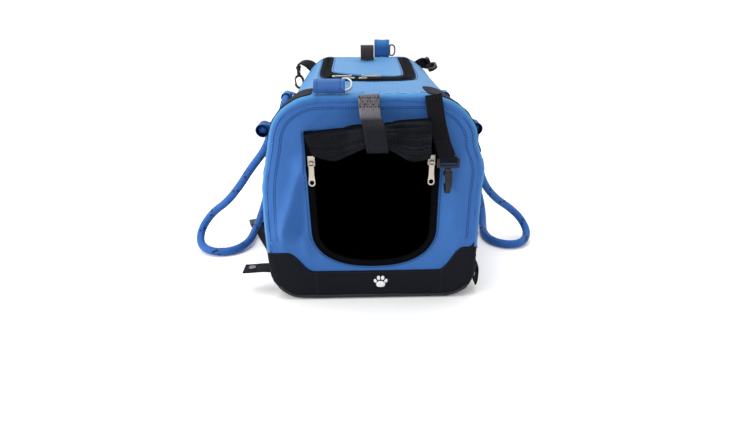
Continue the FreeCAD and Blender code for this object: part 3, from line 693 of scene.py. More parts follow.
def studio():
    scene = bpy.context.scene
    camera = bpy.data.objects.new("camera", bpy.data.cameras.new("camera"))
    scene.collection.objects.link(camera)
    camera.location = (-0.018, -0.8572, 0.382)
    pitch, yaw = math.radians(22.8), math.radians(2.03)
    look = Vector((math.sin(yaw) * math.cos(pitch), math.cos(yaw) * math.cos(pitch), -math.sin(pitch)))
    aim(camera, camera.location + look)
    camera.data.lens = 24.95
    camera.data.sensor_width = 36
    scene.camera = camera
    for name, place, target, size, power in (
        ("key_light", (-0.5, -0.3, 1.9), (0, 0, 0.1), 1.1, 13),
        ("top_light", (0.1, 0.6, 2.1), (0, 0, 0.1), 1.6, 18),
        ("side_light", (-1.9, -0.8, 0.7), (0, -0.1, 0.15), 0.7, 24),
    ):
        light = bpy.data.objects.new(name, bpy.data.lights.new(name, "AREA"))
        scene.collection.objects.link(light)
        light.location = place
        light.data.size = size
        light.data.energy = power
        aim(light, target)
    world = bpy.data.worlds.new("studio")
    world.use_nodes = True
    world.node_tree.nodes["Background"].inputs[0].default_value = (1, 1, 1, 1)
    world.node_tree.nodes["Background"].inputs[1].default_value = 1.1
    scene.world = world
    scene.view_settings.view_transform = "Standard"
    s = Shader("floor_paper", (0.93, 0.93, 0.93), 0.9, specular=0.1)
    s.bump(s.noise(40, 2), 0.0002, 0.2)
    corners = [(x * 30, y * 30, -0.0006) for x, y in ((-1, -1), (1, -1), (1, 1), (-1, 1))]
    make_mesh("floor", corners, [(0, 1, 2, 3)], None, [s.material], body=None, smooth=False)


# ---------------------------------------------------------------- rope handles
left_route = [
    (-148, -141, 218), (-148, -107, 218), (-147, -81, 198), (-161, -67, 169), (-186, -60, 139),
    (-209, -52, 106), (-235, -41, 75), (-265, -32, 52), (-283, -45, 27), (-279, -72, 10),
    (-252, -91, 6.6), (-221, -86, 6.6), (-202, -60, 8.5), (-200, -23, 9.5), (-197, 14, 15),
    (-191, 44, 34), (-183, 62, 66), (-173, 70, 102), (-163, 71, 138), (-156, 72, 172),
    (-151, 83, 201), (-148, 108, 218), (-148, 141, 218),
]
right_route = [
    (148, -141, 218), (148, -107, 218), (151, -80, 200), (163, -69, 169), (176, -64, 137),
    (190, -58, 104), (215, -47, 76), (244, -30, 54), (268, -26, 31), (275, -47, 13), (259, -73, 7),
    (231, -79, 6.6), (208, -61, 6.6), (202, -28, 7.5), (208, 3, 10), (213, 31, 22), (211, 53, 46),
    (201, 65, 76), (188, 69, 108), (174, 71, 139), (160, 72, 172), (151, 83, 201), (148, 108, 218),
    (148, 141, 218),
]


def rope_line(route):
    """The route's own NURBS spline, as even points."""
    curve = bpy.data.curves.new("rope_line", "CURVE")
    curve.dimensions = "3D"
    spline = curve.splines.new("NURBS")
    spline.points.add(len(route) - 1)
    for point, place in zip(spline.points, route):
        point.co = (*(c / 1000 for c in place), 1)
    spline.order_u = 3
    spline.use_endpoint_u = True
    spline.resolution_u = 24
    made = bpy.data.objects.new("rope_line", curve)
    bpy.context.scene.collection.objects.link(made)
    bpy.context.view_layer.update()
    mesh = bpy.data.meshes.new_from_object(made)
    line = np.array([v.co for v in mesh.vertices])
    bpy.data.objects.remove(made)
    bpy.data.meshes.remove(mesh)
    return line


def rope_handle(side, route):
    """Braided rope: two families of strands over and under each other, a few of them black."""
    strands, lay, around = 8, 0.052, 48
    line = rope_line(route)
    count = int(line_length(line) / 0.00085)
    line = resample(line, count)
    u, v = frames_along(line)
    run = np.linspace(0, line_length(line), count)[:, None]
    angle = np.linspace(0, 2 * math.pi, around, endpoint=False)[None]
    a = angle * strands / (2 * math.pi) + run * strands / lay
    b = angle * strands / (2 * math.pi) - run * strands / lay
    on_top = (np.floor(a) + np.floor(b)) % 2 == 0
    fa, fb = a - np.floor(a) - 0.5, b - np.floor(b) - 0.5
    bulge = np.where(on_top, np.cos(fa * 2.6) * np.cos(fb * 1.5), np.cos(fb * 2.6) * np.cos(fa * 1.5))
    radius = ROPE / 2 - 0.00062 + 0.00075 * bulge
    places = (line[:, None] + u[:, None] * (radius * np.cos(angle))[..., None]
              + v[:, None] * (radius * np.sin(angle))[..., None]).reshape(-1, 3)
    black = np.where(on_top, np.floor(a) % strands == 2, np.floor(b) % strands == 5)
    black &= ((np.floor(run / 0.0175) % 2) == 0)
    color = np.ones((count, around, 4))
    # Painted shade: the strands are painted 12% darker where they pass under the others.
    color[..., :3] = np.array([0.016, 0.112, 0.40]) * np.where(on_top, 1.0, 0.88)[..., None]
    color[black] = (0.006, 0.006, 0.008, 1)
    made = make_mesh(side + "_rope_handle", places, tube_faces(count, around), None, [BRAID], body=side + "_handle")
    attribute = made.data.color_attributes.new("strand", "FLOAT_COLOR", "POINT")
    attribute.data.foreach_set("color", color.astype(np.float32).ravel())
    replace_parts(made, side + "_handle_rope")


# ---------------------------------------------------------------- fabric body
def round_end(t, inset, y):
    """A line round one end, with the directions out of the bag and away from its middle."""
    x, z, nx, nz = end_line(t, inset, y > 0)
    return cols(x, y, z), cols(nx, 0, nz), cols(0 * x, math.copysign(1, y), 0)


def end_sleeve(name, y, t0, t1, material, count):
    """The padded tube that holds the wire frame round one end; its inner quarter is lining."""
    t = np.linspace(t0, t1, count)
    ripple = 1 + 0.025 * np.sin(t * 410 + 2 * np.sin(t * 37)) + 0.025 * np.sin(t * 133)
    made = sweep(name, *round_end(t, ROLL, y), circle_profile(ROLL, 20), [material, LINING_PAINTED_SHADE],
                 vary=lambda shape: shape * ripple[:, None, None])
    strip = np.arange(len(made.data.polygons)) % 20
    made.data.polygons.foreach_set("material_index", ((strip >= 9) & (strip <= 15)).astype(np.int32))
    return made


def doorway_line(inset=0.0):
    """Front doorway from its top left corner round the bottom to the top right."""
    left = cols(np.linspace(-0.083, -0.0795, 30), np.linspace(0.236, 0.108, 30))
    right = cols(np.linspace(0.0855, 0.0865, 30), np.linspace(0.108, 0.236, 30))
    a = np.linspace(math.pi, 2 * math.pi, 120)[1:-1]
    low = cols(0.003 + 0.0825 * np.sign(np.cos(a)) * np.abs(np.cos(a)) ** (2 / 2.35),
               0.108 - 0.0575 * np.abs(np.sin(a)) ** (2 / 2.35))
    return inward(resample(np.vstack([left, low, right]), 240), inset)


def window_outline(inset=0.0):
    corner = 0.022 - inset
    y, z0, z1 = 0.140 - inset - corner, 0.092 + inset + corner, 0.180 - inset - corner
    out = []
    for start, (cy, cz) in enumerate(((y, z1), (-y, z1), (-y, z0), (y, z0))):
        a = np.linspace(start, start + 1, 9) * math.pi / 2
        out.append(cols(cy + corner * np.cos(a), cz + corner * np.sin(a)))
    return np.vstack(out)


HATCH_EDGE = [
    (-0.082, 0.2045), (-0.081, 0.120), (-0.079, 0.041), (-0.075, -0.020), (-0.067, -0.066), (-0.051, -0.093),
    (-0.032, -0.1035), (0.004, -0.1045), (0.032, -0.1035), (0.054, -0.096), (0.068, -0.078), (0.075, -0.030),
    (0.081, 0.060), (0.085, 0.128), (0.086, 0.2045),
]
FLAP_EDGE = [
    (-0.060, 0.204), (-0.059, 0.120), (-0.058, 0.030), (-0.055, 0.004), (-0.046, -0.012), (-0.020, -0.032),
    (0.014, -0.049), (0.038, -0.054), (0.051, -0.045), (0.056, -0.015), (0.060, 0.080), (0.062, 0.164),
    (0.063, 0.204),
]


def wrap_x(line):
    """Plan view to flat metres: past the flat of the top the cloth runs down the shoulder."""
    x = line[:, 0]
    over = np.clip((np.abs(x) - FLAT) / SHOULDER, 0, 1)
    return cols(np.where(over > 0, np.sign(x) * (FLAT + SHOULDER * np.arcsin(over)), x), line[:, 1])


def inward(line, distance):
    """A line moved to its left-hand side, which is the inside of the hatch and of the doorway."""
    along = tangents(line)
    return line + cols(-along[:, 1], along[:, 0]) * distance


def band_between(name, first, second, body=ROOT, rows=7):
    """A flat tape on the top between two lines of equal count, a little raised in its middle."""
    n = len(first)
    verts, uv = [], []
    run = np.r_[0, np.cumsum(np.linalg.norm(np.diff(first, axis=0), axis=1))]
    wide = np.linalg.norm(second - first, axis=1)
    for height in (0.0006, 0.0006 - TAPE_THICK):
        for f in np.linspace(0, 1, rows):
            p, normal = on_tube()(*(first + (second - first) * f).T)
            verts.append(p + normal * (height + 0.0005 * math.sin(f * math.pi)))
            uv.append(cols(wide * f, run))
    faces = []
    for i in range(n - 1):
        for k in range(rows - 1):
            face = [q * n + r for q, r in ((k, i), (k, i + 1), (k + 1, i + 1), (k + 1, i))]
            faces += [face, [v + rows * n for v in face[::-1]]]
        for k, flip in ((0, 1), (rows - 1, -1)):
            a, b = k * n + i, k * n + i + 1
            faces.append((a, a + rows * n, b + rows * n, b)[::flip])
    return make_mesh(name, np.vstack(verts), faces, np.vstack(uv), [TAPE], body=body)


def body_panels():
    """Both ends, the top and the two sides with their netted windows."""
    x = np.linspace(END_HALF, -END_HALF, 90)
    for end, rear, holes, step, place in (("front", False, [doorway_line()], 0.0042, on_front()),
                                          ("back", True, [], 0.0050, on_back())):
        outline = np.vstack([ring_line(-END_T, END_T, rear, 260), cols(x, guard_height(x) - LAP)])
        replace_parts(panel(end + "_cloth", outline, holes, step, place, CLOTH, [BLUE, LINING_PAINTED_SHADE]), end + "_panel")
    outline = np.array([(-T_SEAM, -END), (T_SEAM, -END), (T_SEAM, END), (-T_SEAM, END)])
    hole = wrap_x(smooth_path(HATCH_EDGE, 220))
    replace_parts(panel("top_cloth", outline, [hole], 0.0050, on_tube(), CLOTH, [BLUE_PAINTED_LIT_TOP, LINING_PAINTED_SHADE]), "top_panel")

    y = np.linspace(-END, END, 120)
    for side, sign in SIDES:
        outline = np.vstack([cols(sign * side_t(side_guard(y) - LAP), y),
                             [(sign * T_SEAM, END), (sign * T_SEAM, -END)]])
        hole = on_side(sign, window_outline())
        cloth = panel(side + "_side_cloth", outline, [hole], 0.0055, on_tube(0.0004), CLOTH, [BLUE, LINING_PAINTED_SHADE])
        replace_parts(cloth, side + "_side_panel")
        hole = on_side(sign, window_outline(-0.003))
        net = panel(side + "_window_net", hole, [], 0.0060, on_tube(-0.0014), 0.0006, [WINDOW_NET])
        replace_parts(net, side + "_window_mesh")
        ring = on_side(sign, closed_resample(window_outline(), 0.004))
        place, normal = on_tube(0.0012)(*ring.T)
        along = unit(np.roll(place, -1, 0) - np.roll(place, 1, 0))
        binding = sweep(side + "_window_binding", place, np.cross(normal, along), normal,
                        strap_profile(0.010, 0.0022), [TAPE], closed=True)
        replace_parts(binding, "window_bindings")
        rows = [on_tube(0.0023)(*on_side(sign, closed_resample(window_outline(inset), 0.003)).T)
                for inset in (-0.0034, 0.0034)]
        stitches(side + "_window_stitching", rows, THREAD_BLACK)


def floor_place(t, y):
    """Measured from the middle of the bottom, so that the piece is whole under the bag."""
    from_top = np.where(t >= 0, T_END - t, -T_END - t)
    p, n = on_tube()(from_top, y)
    flat = 1 - ease((np.abs(t) - 0.07) / 0.03)
    x, z, nx, nz = ring_point(from_top)
    rest = cols(x, y, z) + cols(nx, 0, nz) * 0.0004
    return p * (1 - flat[:, None]) + rest * flat[:, None], n


def base_panels():
    """Black base: an apron on each end, and a tub that wraps the sides and the floor."""
    x = np.linspace(-END_HALF, END_HALF, 120)
    hem = np.linspace(-0.132, 0.132, 160)
    for end, place in (("front", on_front(0.0011, base_relief)), ("back", on_back(0.0011))):
        rear = end == "back"
        outline = np.vstack([cols(x, guard_height(x)), ring_line(END_T, T_END, rear), ring_line(-T_END, -END_T, rear)])
        cloth = panel(end + "_base_cloth", outline, [], 0.0046, place, CLOTH, [BLACK, LINING_PAINTED_SHADE])
        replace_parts(cloth, "base_shell")
        rows = [place(hem, guard_height(hem) - 0.0022)]
        for seam in (-0.077, -0.0745, 0.097, 0.0945):
            rows.append(place(np.full(20, seam), np.linspace(0.009, guard_height(seam) - 0.004, 20)))
        stitches(end + "_base_stitching", rows, THREAD_BLACK)
    y = np.linspace(-END, END, 140)
    edge = T_END - side_t(side_guard(y))
    outline = np.vstack([cols(edge, y), cols(-edge, y)[::-1]])
    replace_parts(panel("base_tub", outline, [], 0.0058, floor_place, CLOTH, [BLACK, LINING_PAINTED_SHADE]), "base_shell")
    rows = [on_tube(0.0012)(sign * (side_t(side_guard(y)) + 0.002), y) for sign in (-1, 1)]
    stitches("base_side_stitching", rows, THREAD_BLACK)


def seams():
    """The rows of stitching that close the frame sleeves, the side seams and the doorway's edge."""
    rows = []
    t = np.linspace(-0.295, 0.295, 400)
    for inset in (0.0074, 0.0150, 0.0172):
        rows += [place(*end_line(t, inset, rear)[:2]) for rear, place in ((False, on_front()), (True, on_back()))]
    t = np.linspace(-0.29, 0.29, 400)
    rows += [on_tube()(t, np.full(400, y)) for y in (-END + 0.010, END - 0.010)]
    y = np.linspace(-END, END, 200)
    rows += [on_tube(0.0003)(np.full(200, sign * (T_SEAM + off)), y) for sign in (-1, 1) for off in (-0.003, 0.003)]
    rows.append(on_front()(*doorway_line(-0.0030).T))
    stitches("shell_stitching", rows, THREAD_BLUE)


def patches():
    rows = []
    for side, sign, inner, outer, back in (("left", -1, 0.0725, 0.028, 0.0), ("right", 1, 0.0690, 0.006, 0.014)):
        t_in = FLAT + SHOULDER * math.asin((inner - FLAT) / SHOULDER)
        t_out = T_SEAM - outer
        outline = np.array([(t_in, -END), (t_out, -END), (t_out, back - 0.126), (t_in + 0.045, back - 0.136),
                            (t_in + 0.016, back - 0.158), (t_in, back - 0.176)]) * [sign, 1]
        patch = panel(side + "_shoulder_patch", closed_resample(outline, 0.003), [], 0.0045, on_tube(0.0012), 0.0012,
                      [BLACK])
        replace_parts(patch, "corner_patches")
        rows.append(on_tube(0.0014)(np.full(20, sign * (t_in + 0.003)), np.linspace(-0.214, -0.175, 20)))
        edge = smooth_path(outline[[5, 4, 3, 2]] + [0, -0.0030], 50)
        rows.append(on_tube(0.0014)(*smooth_path(edge[::12], 50).T))
    stitches("patch_stitching", rows, THREAD_BLACK)


def bottom_binding():
    """Glossy tape bound round the bottom edge of each end."""
    for end, y in (("front", -END - 0.0020), ("rear", END + 0.0020)):
        for part, a, b in (("right", 0.372, T_END), ("left", -T_END, -0.372)):
            made = sweep("%s_%s_bottom_binding" % (end, part), *round_end(np.linspace(a, b, 80), 0.0042, y),
                         circle_profile(1, 16) * [0.0040, 0.0052], [BINDING])


def edge_rolls():
    guard_left, guard_right = side_t(0.072), side_t(0.077)
    for end, y in (("front", -END + 0.0002), ("rear", END - 0.0002)):
        blue = end_sleeve(end + "_frame_sleeve", y, -guard_left, guard_right, BLUE_SLEEVE_PAINTED_LIT, 420)
        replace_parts(blue, "arch_piping")
        for side, a, b in (("right", guard_right - 0.001, T_END), ("left", -T_END, -guard_left + 0.001)):
            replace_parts(end_sleeve("%s_%s_base_piping" % (end, side), y, a, b, BLACK, 200), "base_piping")


def hoop_linings():
    """The black cloth that wraps the wire hoops inside the bag."""
    x, z, nx, nz = ring_point(np.linspace(-T_END, T_END, 420)[:-1], 0.012)
    for end in ("front", "rear"):
        lo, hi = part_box(end + "_frame")
        sweep(end + "_hoop_lining", cols(x, (lo.y + hi.y) / 2, z), cols(nx, 0, nz), cols(0 * x, 1, 0),
              circle_profile(0.0028, 14), [LINING_PAINTED_SHADE], closed=True)


# ---------------------------------------------------------------- zips and the rolled door
def tape_along(name, line, place, width):
    """A flat tape that follows a line in flat metres; place lays it on the bag."""
    centre, normal = place(*line.T)
    across = unit(np.cross(normal, tangents(centre)))
    return sweep(name, centre, across, normal, strap_profile(width, TAPE_THICK, 6), [TAPE])


def teeth_along(name, line, place, width, body=ROOT, pitch=0.0016):
    points, along, up = stitch_line(*place(*line.T), pitch, 0.0006)
    return grains(name, points, unit(np.cross(up, along)), up, (width, 0.0012, 0.0013), COIL, body)


def doorway_zip():
    flat = on_front(-0.0012, no_relief)
    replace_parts(tape_along("front_zip_cloth", doorway_line(0.0042), flat, 0.0088), "front_zip_tape")
    teeth_along("front_zip_coil", doorway_line(0.0076), flat, 0.0034)
    tape_along("front_zip_fold", doorway_line(0.0008), on_front(0.0006, no_relief), 0.0016)


def door_roll():
    """The mesh door, rolled up above the doorway and pinched by its strap at knot."""
    count, around, knot, power = 90, 96, 0.52, 0.62
    lo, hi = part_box("rolled_door")
    x = np.linspace(lo.x, hi.x + 0.001, count)
    s = (x - lo.x) / (hi.x - lo.x)

    def level(points):
        return np.interp(s, *smooth_path(points, 400).T)

    top = level([(0, 0.2325), (0.25, 0.2390), (0.47, 0.2450), (0.58, 0.2440), (0.75, 0.2500), (1, 0.2510)])
    bottom = level([(0, 0.2075), (0.2, 0.2050), (0.42, 0.2175), (0.55, 0.2225), (0.68, 0.2170), (0.84, 0.2050),
                    (1, 0.2070)])
    deep = np.interp(s, [0, 0.3, 0.52, 0.75, 1], [0.015, 0.024, 0.034, 0.031, 0.026])
    pinch = bell(s, knot, 0.16)
    angle = np.linspace(0, 2 * math.pi, around, endpoint=False)
    ca, sa = np.cos(angle), np.sin(angle)
    verts = []
    for i in range(count):
        half_z, half_y = (top[i] - bottom[i]) / 2, deep[i] / 2
        away = (s[i] - knot) * (hi.x - lo.x)
        fan = sa * 0.9 * min(1, abs(away) / 0.03) * math.copysign(1, away)
        creases = (0.17 * np.abs(np.sin(3.5 * (angle + fan) + 10 * away)) ** 0.7
                   + 0.06 * np.sin(6 * angle - 45 * away + 1.0) + 0.03 * np.sin(10 * angle + 70 * away))
        grow = 0.86 + creases * (1.0 - 0.25 * pinch[i])
        yy = -HALF_L - 0.0012 - half_y - half_y * np.sign(ca) * np.abs(ca) ** power * grow
        zz = (top[i] + bottom[i]) / 2 + half_z * np.sign(sa) * np.abs(sa) ** power * grow
        skew = 0.010 * (1 - s[i]) ** 2 * (0.2325 - zz) / 0.025
        verts.append(cols(x[i] - 0.001 * (1 - s[i]) + skew, np.minimum(yy, -HALF_L - 0.0012), zz))
    verts = np.array(verts)

    # turns of cloth at both ends of the roll: every other edge is sunk
    near_turns, far_turns = [], []
    for size, sunk in ((0.80, 0), (0.62, 0.0045), (0.60, 0), (0.42, 0.0045), (0.40, 0), (0.2, 0.0045)):
        near, far = (ring.mean(0) + (ring - ring.mean(0)) * size for ring in (verts[0], verts[-1]))
        near[:, 0] += sunk
        far[:, 0] = x[-1] - sunk
        near_turns.append(near)
        far_turns.append(far)
    rings = np.array([*near_turns[::-1], *verts, *far_turns])
    uv = cols(rings[:, :1, 0], np.linspace(0, 0.13, around))
    roll = make_mesh("door_roll", rings.reshape(-1, 3), tube_faces(len(rings), around), uv.reshape(-1, 2), [NET])
    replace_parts(roll, "rolled_door")
    edge = resample(verts[:, int(around * 0.30)], 80)
    up = np.tile([0, -0.5, 0.86], (80, 1))
    across = unit(np.cross(up, tangents(edge)))
    sweep("door_roll_hem", edge + up * 0.0004, across, up, strap_profile(0.008, 0.0016, 6), [TAPE])


def facing_front(line, across):
    """Normals of a strap, turned to the front of the bag."""
    normal = unit(np.cross(tangents(line), across))
    return normal * np.sign(-normal[:, 1:2])


def roll_strap():
    """The webbing that holds the rolled door, with its box of stitches."""
    path = [(-0.0035, -0.2338, 0.2808), (-0.0025, -0.2342, 0.2650), (-0.0015, -0.2420, 0.2560),
            (0.000, -0.2590, 0.2545), (0.0018, -0.2692, 0.2480), (0.0035, -0.2720, 0.2370),
            (0.0050, -0.2712, 0.2270), (0.0060, -0.2660, 0.2195), (0.0062, -0.2570, 0.2165)]
    band = ribbon("front_roll_webbing", path, [(1, 0, 0)] * len(path), 0.0255, 0.0018, STRAP_PAINTED_LIT_TO_SHADED, count=90)
    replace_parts(band, "front_roll_strap")
    line = smooth_path(path, 90)[2:14]
    normal = facing_front(line, [1, 0, 0])
    turns = [2, 10, 2, 10, 2]
    rows = [(line[turns] + cols(np.linspace(-0.010, 0.010, 5), 0, 0) + normal[turns] * 0.0012, normal[turns])]
    rows += [(line + [off, 0, 0] + normal * 0.0010, normal) for off in (-0.0112, 0.0112)]
    bar = cols(np.linspace(-0.0112, 0.0112, 12), 0, 0)
    rows += [(line[i] + bar + normal[i] * 0.0011, np.tile(normal[i], (12, 1))) for i in (1, 11)]
    stitches("roll_strap_stitching", rows, THREAD_BLACK)


def flap_place(t, y):
    p, n = on_tube()(t, y)
    dent = 0.0030 * bell(y, 0.148, 0.020) * bell(t, 0.002, 0.030)
    puff = 0.0022 * bell(t, 0, 0.04) * bell(y, 0.03, 0.09)
    p[:, 2] += puff - dent + 0.0008
    return p, n


def top_hatch():
    flap_body = "hatch_flap"
    edge = smooth_path(HATCH_EDGE, 320)
    flap_edge = smooth_path(FLAP_EDGE, 320)

    def in_by(distance):
        return wrap_x(inward(edge, distance))

    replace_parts(band_between("hatch_outer_tape", wrap_x(edge), in_by(0.0108)), "top_zip_outer_tape")
    inner = band_between("hatch_inner_tape", in_by(0.0116), wrap_x(flap_edge), flap_body)
    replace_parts(inner, "top_zip_inner_tape")
    teeth_along("hatch_outer_coil", in_by(0.0100), on_tube(0.0009), 0.0030, pitch=0.0017)
    teeth_along("hatch_inner_coil", in_by(0.0124)[3:-3], on_tube(0.0009), 0.0030, flap_body, 0.0017)
    flap = panel("hatch_flap_cloth", wrap_x(flap_edge), [], 0.0045, flap_place, 0.0032, [BLUE_PAINTED_LIT_TOP, LINING_PAINTED_SHADE], flap_body)
    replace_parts(flap, "top_flap")
    hem = wrap_x(inward(flap_edge, 0.0022))[4:-4]
    stitches("flap_stitching", [flap_place(*hem.T)], THREAD_BLUE, flap_body)
    rows = [on_tube()(*in_by(-0.0028).T), on_tube(0.0010)(*in_by(0.0014).T)]
    stitches("hatch_stitching", rows, THREAD_BLUE)

    lo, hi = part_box("top_roll_strap")
    loop = [((lo.x + hi.x) / 2, lo.y + dy, TOP + dz) for dy, dz in
            ((0.0015, 0.0005), (0.0005, 0.0100), (0.0020, 0.0205), (0.0085, 0.0260), (0.0150, 0.0210),
             (0.0165, 0.0100), (0.0155, 0.0005))]
    band = ribbon("hatch_roll_webbing", loop, [(1, 0, 0)] * len(loop), 0.0245, 0.0018, STRAP_BROWN, flap_body, 70)
    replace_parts(band, "top_roll_strap")


# ---------------------------------------------------------------- straps, tabs, tunnels
def carry_straps():
    """Three carrying straps; each loop of webbing has an eye round its rail."""
    front = [(0.0735, -0.2340, 0.2805), (0.0762, -0.2345, 0.2640), (0.0800, -0.2362, 0.2450),
             (0.0860, -0.2410, 0.2230), (0.0915, -0.2446, 0.2090), (0.0935, -0.2462, 0.2050)]
    wide = [(0.97, 0, 0.2), (0.97, 0, 0.22), (0.97, 0, 0.22), (0.98, 0, 0.2), (0.99, 0, 0.1), (1, 0, 0)]
    turned = (0.4501, 0.2001, -0.8703)
    straps = (
        ("front_right", 70, front, wide, (0.094, -0.245, 0.203), (1, 0, 0)),
        ("rear_left", 40,
         [(-0.099, 0.2290, 0.2550), (-0.106, 0.2336, 0.2610), (-0.1140, 0.238, 0.2660), (-0.1250, 0.2435, 0.2682),
          (-0.1335, 0.2465, 0.2655), (-0.1352, 0.247, 0.2600)],
         [(0.80, 0, 0.60), (0.80, 0, 0.60), (0.64, 0.50, 0.58), (0.25, 0.92, 0.20), (0.05, 1, 0.02), (0, 1, 0)],
         (-0.135, 0.247, 0.258), (0, 1, 0)),
        ("rear_right", 40,
         [(0.1048, 0.2312, 0.2606), (0.107, 0.2340, 0.2620), (0.117, 0.238, 0.2665), (0.1282, 0.243, 0.2644)],
         [(0.70, 0.05, -0.71), (0.70, 0.05, -0.71), (0.58, 0.12, -0.80), turned],
         (0.131, 0.243, 0.266), turned),
    )
    for name, count, points, widths, *_ in straps:
        band = ribbon(name + "_webbing", points, widths, 0.0205, WEBBING, STRAP, name + "_strap_body", count)
        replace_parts(band, name + "_strap")
    for name, *_, eye, rail in straps:
        line = np.array(eye) + unit(rail) * np.linspace(-0.0102, 0.0102, 24)[:, None]
        sweep(name + "_webbing_eye", line, *frames_along(line), circle_profile(0.0043, 24), [STRAP],
              name + "_strap_body")
    line = smooth_path(front, 70)
    across = unit(smooth_path(wide, 70))
    normal = facing_front(line, across)
    bar = np.linspace(-0.009, 0.009, 10)[:, None]
    rows = [(line[i] + bar * across[i] + normal[i] * 0.0011, np.tile(normal[i], (10, 1))) for i in (3, 50)]
    stitches("front_right_stitching", rows, THREAD_BLACK, "front_right_strap_body")


def fabric_tab(name, start, end, up, tall, thick, node):
    """A folded cloth loop that holds a ring, sewn near both ends."""
    count = 40
    start, end, up = np.array(start), np.array(end), unit(up)
    out = unit(np.cross(unit(end - start), up))
    a = np.linspace(0, 2 * math.pi, 40, endpoint=False)
    profile = cols(np.sign(np.cos(a)) * np.abs(np.cos(a)) ** 0.55 * tall / 2,
                   np.sign(np.sin(a)) * np.abs(np.sin(a)) ** 0.75 * thick / 2)
    s = np.linspace(0, 1, count)
    puff = 1 + 0.12 * np.sin(s * math.pi) - 0.18 * bell(s, 0.12, 0.035) - 0.18 * bell(s, 0.86, 0.035)
    uneven = cols(1 + 0.02 * np.sin(s * 9), puff)[:, None]
    made = sweep(name, np.linspace(start, end, count), np.tile(up, (count, 1)), np.tile(out, (count, 1)), profile,
                 [BLUE_TAB_PAINTED_SHADE], vary=lambda shape: shape * uneven)
    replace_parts(made, node)
    bar = np.linspace(-0.42, 0.42, 12)[:, None] * up * tall
    rows = [(start + (end - start) * at + bar + out * sign * thick * 0.43, np.tile(out * sign, (12, 1)))
            for at in (0.12, 0.86) for sign in (-1, 1)]
    stitches(name + "_stitching", rows, THREAD_BLUE)


def tabs():
    lo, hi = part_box("front_left_tab")
    y, z = (lo.y + hi.y) / 2, (lo.z + hi.z) / 2
    fabric_tab("front_left_cloth_tab", (lo.x, y, z), (hi.x - 0.0005, y, z), (0, 0.8192, 0.5736), 0.0208, 0.0076,
               "front_left_tab")
    lo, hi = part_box("rear_right_tab")
    z = (lo.z + hi.z) / 2 - 0.0005
    fabric_tab("rear_right_cloth_tab", (lo.x, 0.226, z), (hi.x - 0.0045, 0.226, z), (0, 0, 1), hi.z - lo.z, 0.0070,
               "rear_right_tab")


def tunnels():
    """Four short cloth tubes round the ropes, each sewn to the shell by two flat roots."""
    count, around, outer, inner, half = 26, 48, 0.0092, 0.0069, 0.0112
    rim = (outer + inner) / 2 * 1.02
    s = np.linspace(0, 1, count)
    flare = 1 + 0.035 * np.cos(2 * math.pi * s)
    a = np.linspace(0, 2 * math.pi, around, endpoint=False)
    order = [(i, outer * flare[i], 0) for i in range(count)] + [(count - 1, rim, 0.0006)]
    order += [(i, inner, 0) for i in range(count - 1, -1, -1)] + [(0, rim, -0.0006)]
    faces = [(a, d, c, b) for a, b, c, d in tube_faces(len(order), around, True)]
    # The bore takes the black lining cloth, which paints the shade inside each tunnel.
    bore_shade_slots = np.repeat([0] * count + [1] * (count + 1) + [0], around)
    for side, sign in SIDES:
        for end, y0 in (("front", -TUNNEL_Y), ("rear", TUNNEL_Y)):
            y = np.linspace(y0 - half, y0 + half, count)
            rings = []
            for i, r, past in order:
                round_r = r * (1 + (0.02 * np.sin(3 * a + 5 * s[i] + sign) if r > inner else 0))
                rings.append(cols(sign * TUNNEL_X + np.cos(a) * round_r, y[i] + past, TUNNEL_Z + np.sin(a) * round_r))
            uv = cols(np.r_[y, y[-1:], y[::-1], y[:1]][:, None], a * 0.0103)
            # The tab cloth's painted shade and light follow U, which here runs along y, so the front tunnels come out
            # in the darker blue and the rear ones in the lighter.
            made = make_mesh("%s_%s_rope_tunnel" % (side, end), np.vstack(rings), faces, uv.reshape(-1, 2),
                             [BLUE_TAB_PAINTED_SHADE, LINING_PAINTED_SHADE], bore_shade_slots)
            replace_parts(made, "handle_tunnels")
            for root, z0, rise in (("upper", 0.2254, 0.0035), ("lower", 0.2106, -0.0035)):
                line = cols(sign * np.linspace(0.1315, 0.1415, 12), y0, np.linspace(z0 - rise, z0, 12))
                across = np.tile([0, 1, 0], (12, 1))
                web = sweep("%s_%s_tunnel_%s_root" % (side, end, root), line, across,
                            unit(np.cross(tangents(line), across)), strap_profile(0.0222, 0.0024), [BLUE_TAB_PAINTED_SHADE])


def snaps_and_floor_strap():
    lo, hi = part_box("left_snap_tab")
    y = (lo.y + hi.y) / 2
    for side, count, path in (
        ("left", 40, ((-0.1405, 0.0345), (-0.150, 0.0352), (-0.162, 0.0345), (-0.172, 0.0338), (-0.1795, 0.0336))),
        ("right", 50, ((0.1418, 0.0535), (0.1466, 0.0455), (0.1505, 0.0340), (0.1507, 0.0220), (0.1502, 0.0135),
                       (0.1487, 0.0082))),
    ):
        tab = ribbon(side + "_snap_webbing", [(x, y, z) for x, z in path], [(0, 1, 0)] * len(path), 0.0252, WEBBING,
                     STRAP, side + "_snap", count)
        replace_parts(tab, side + "_snap_tab")
    start = np.array([-0.125, -0.151, 0.0010])
    along = unit([-0.38, 0.925, 0])
    points = [start + along * d + np.array([0, 0, lift]) for d, lift in
              ((0.0, 0.0), (0.05, 0.0004), (0.10, 0.0), (0.15, 0.0006), (0.197, 0.0022))]
    band = ribbon("floor_webbing", points, [np.cross(along, [0, 0, 1])] * 5, 0.025, 0.0018, STRAP)
    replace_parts(band, "floor_strap")


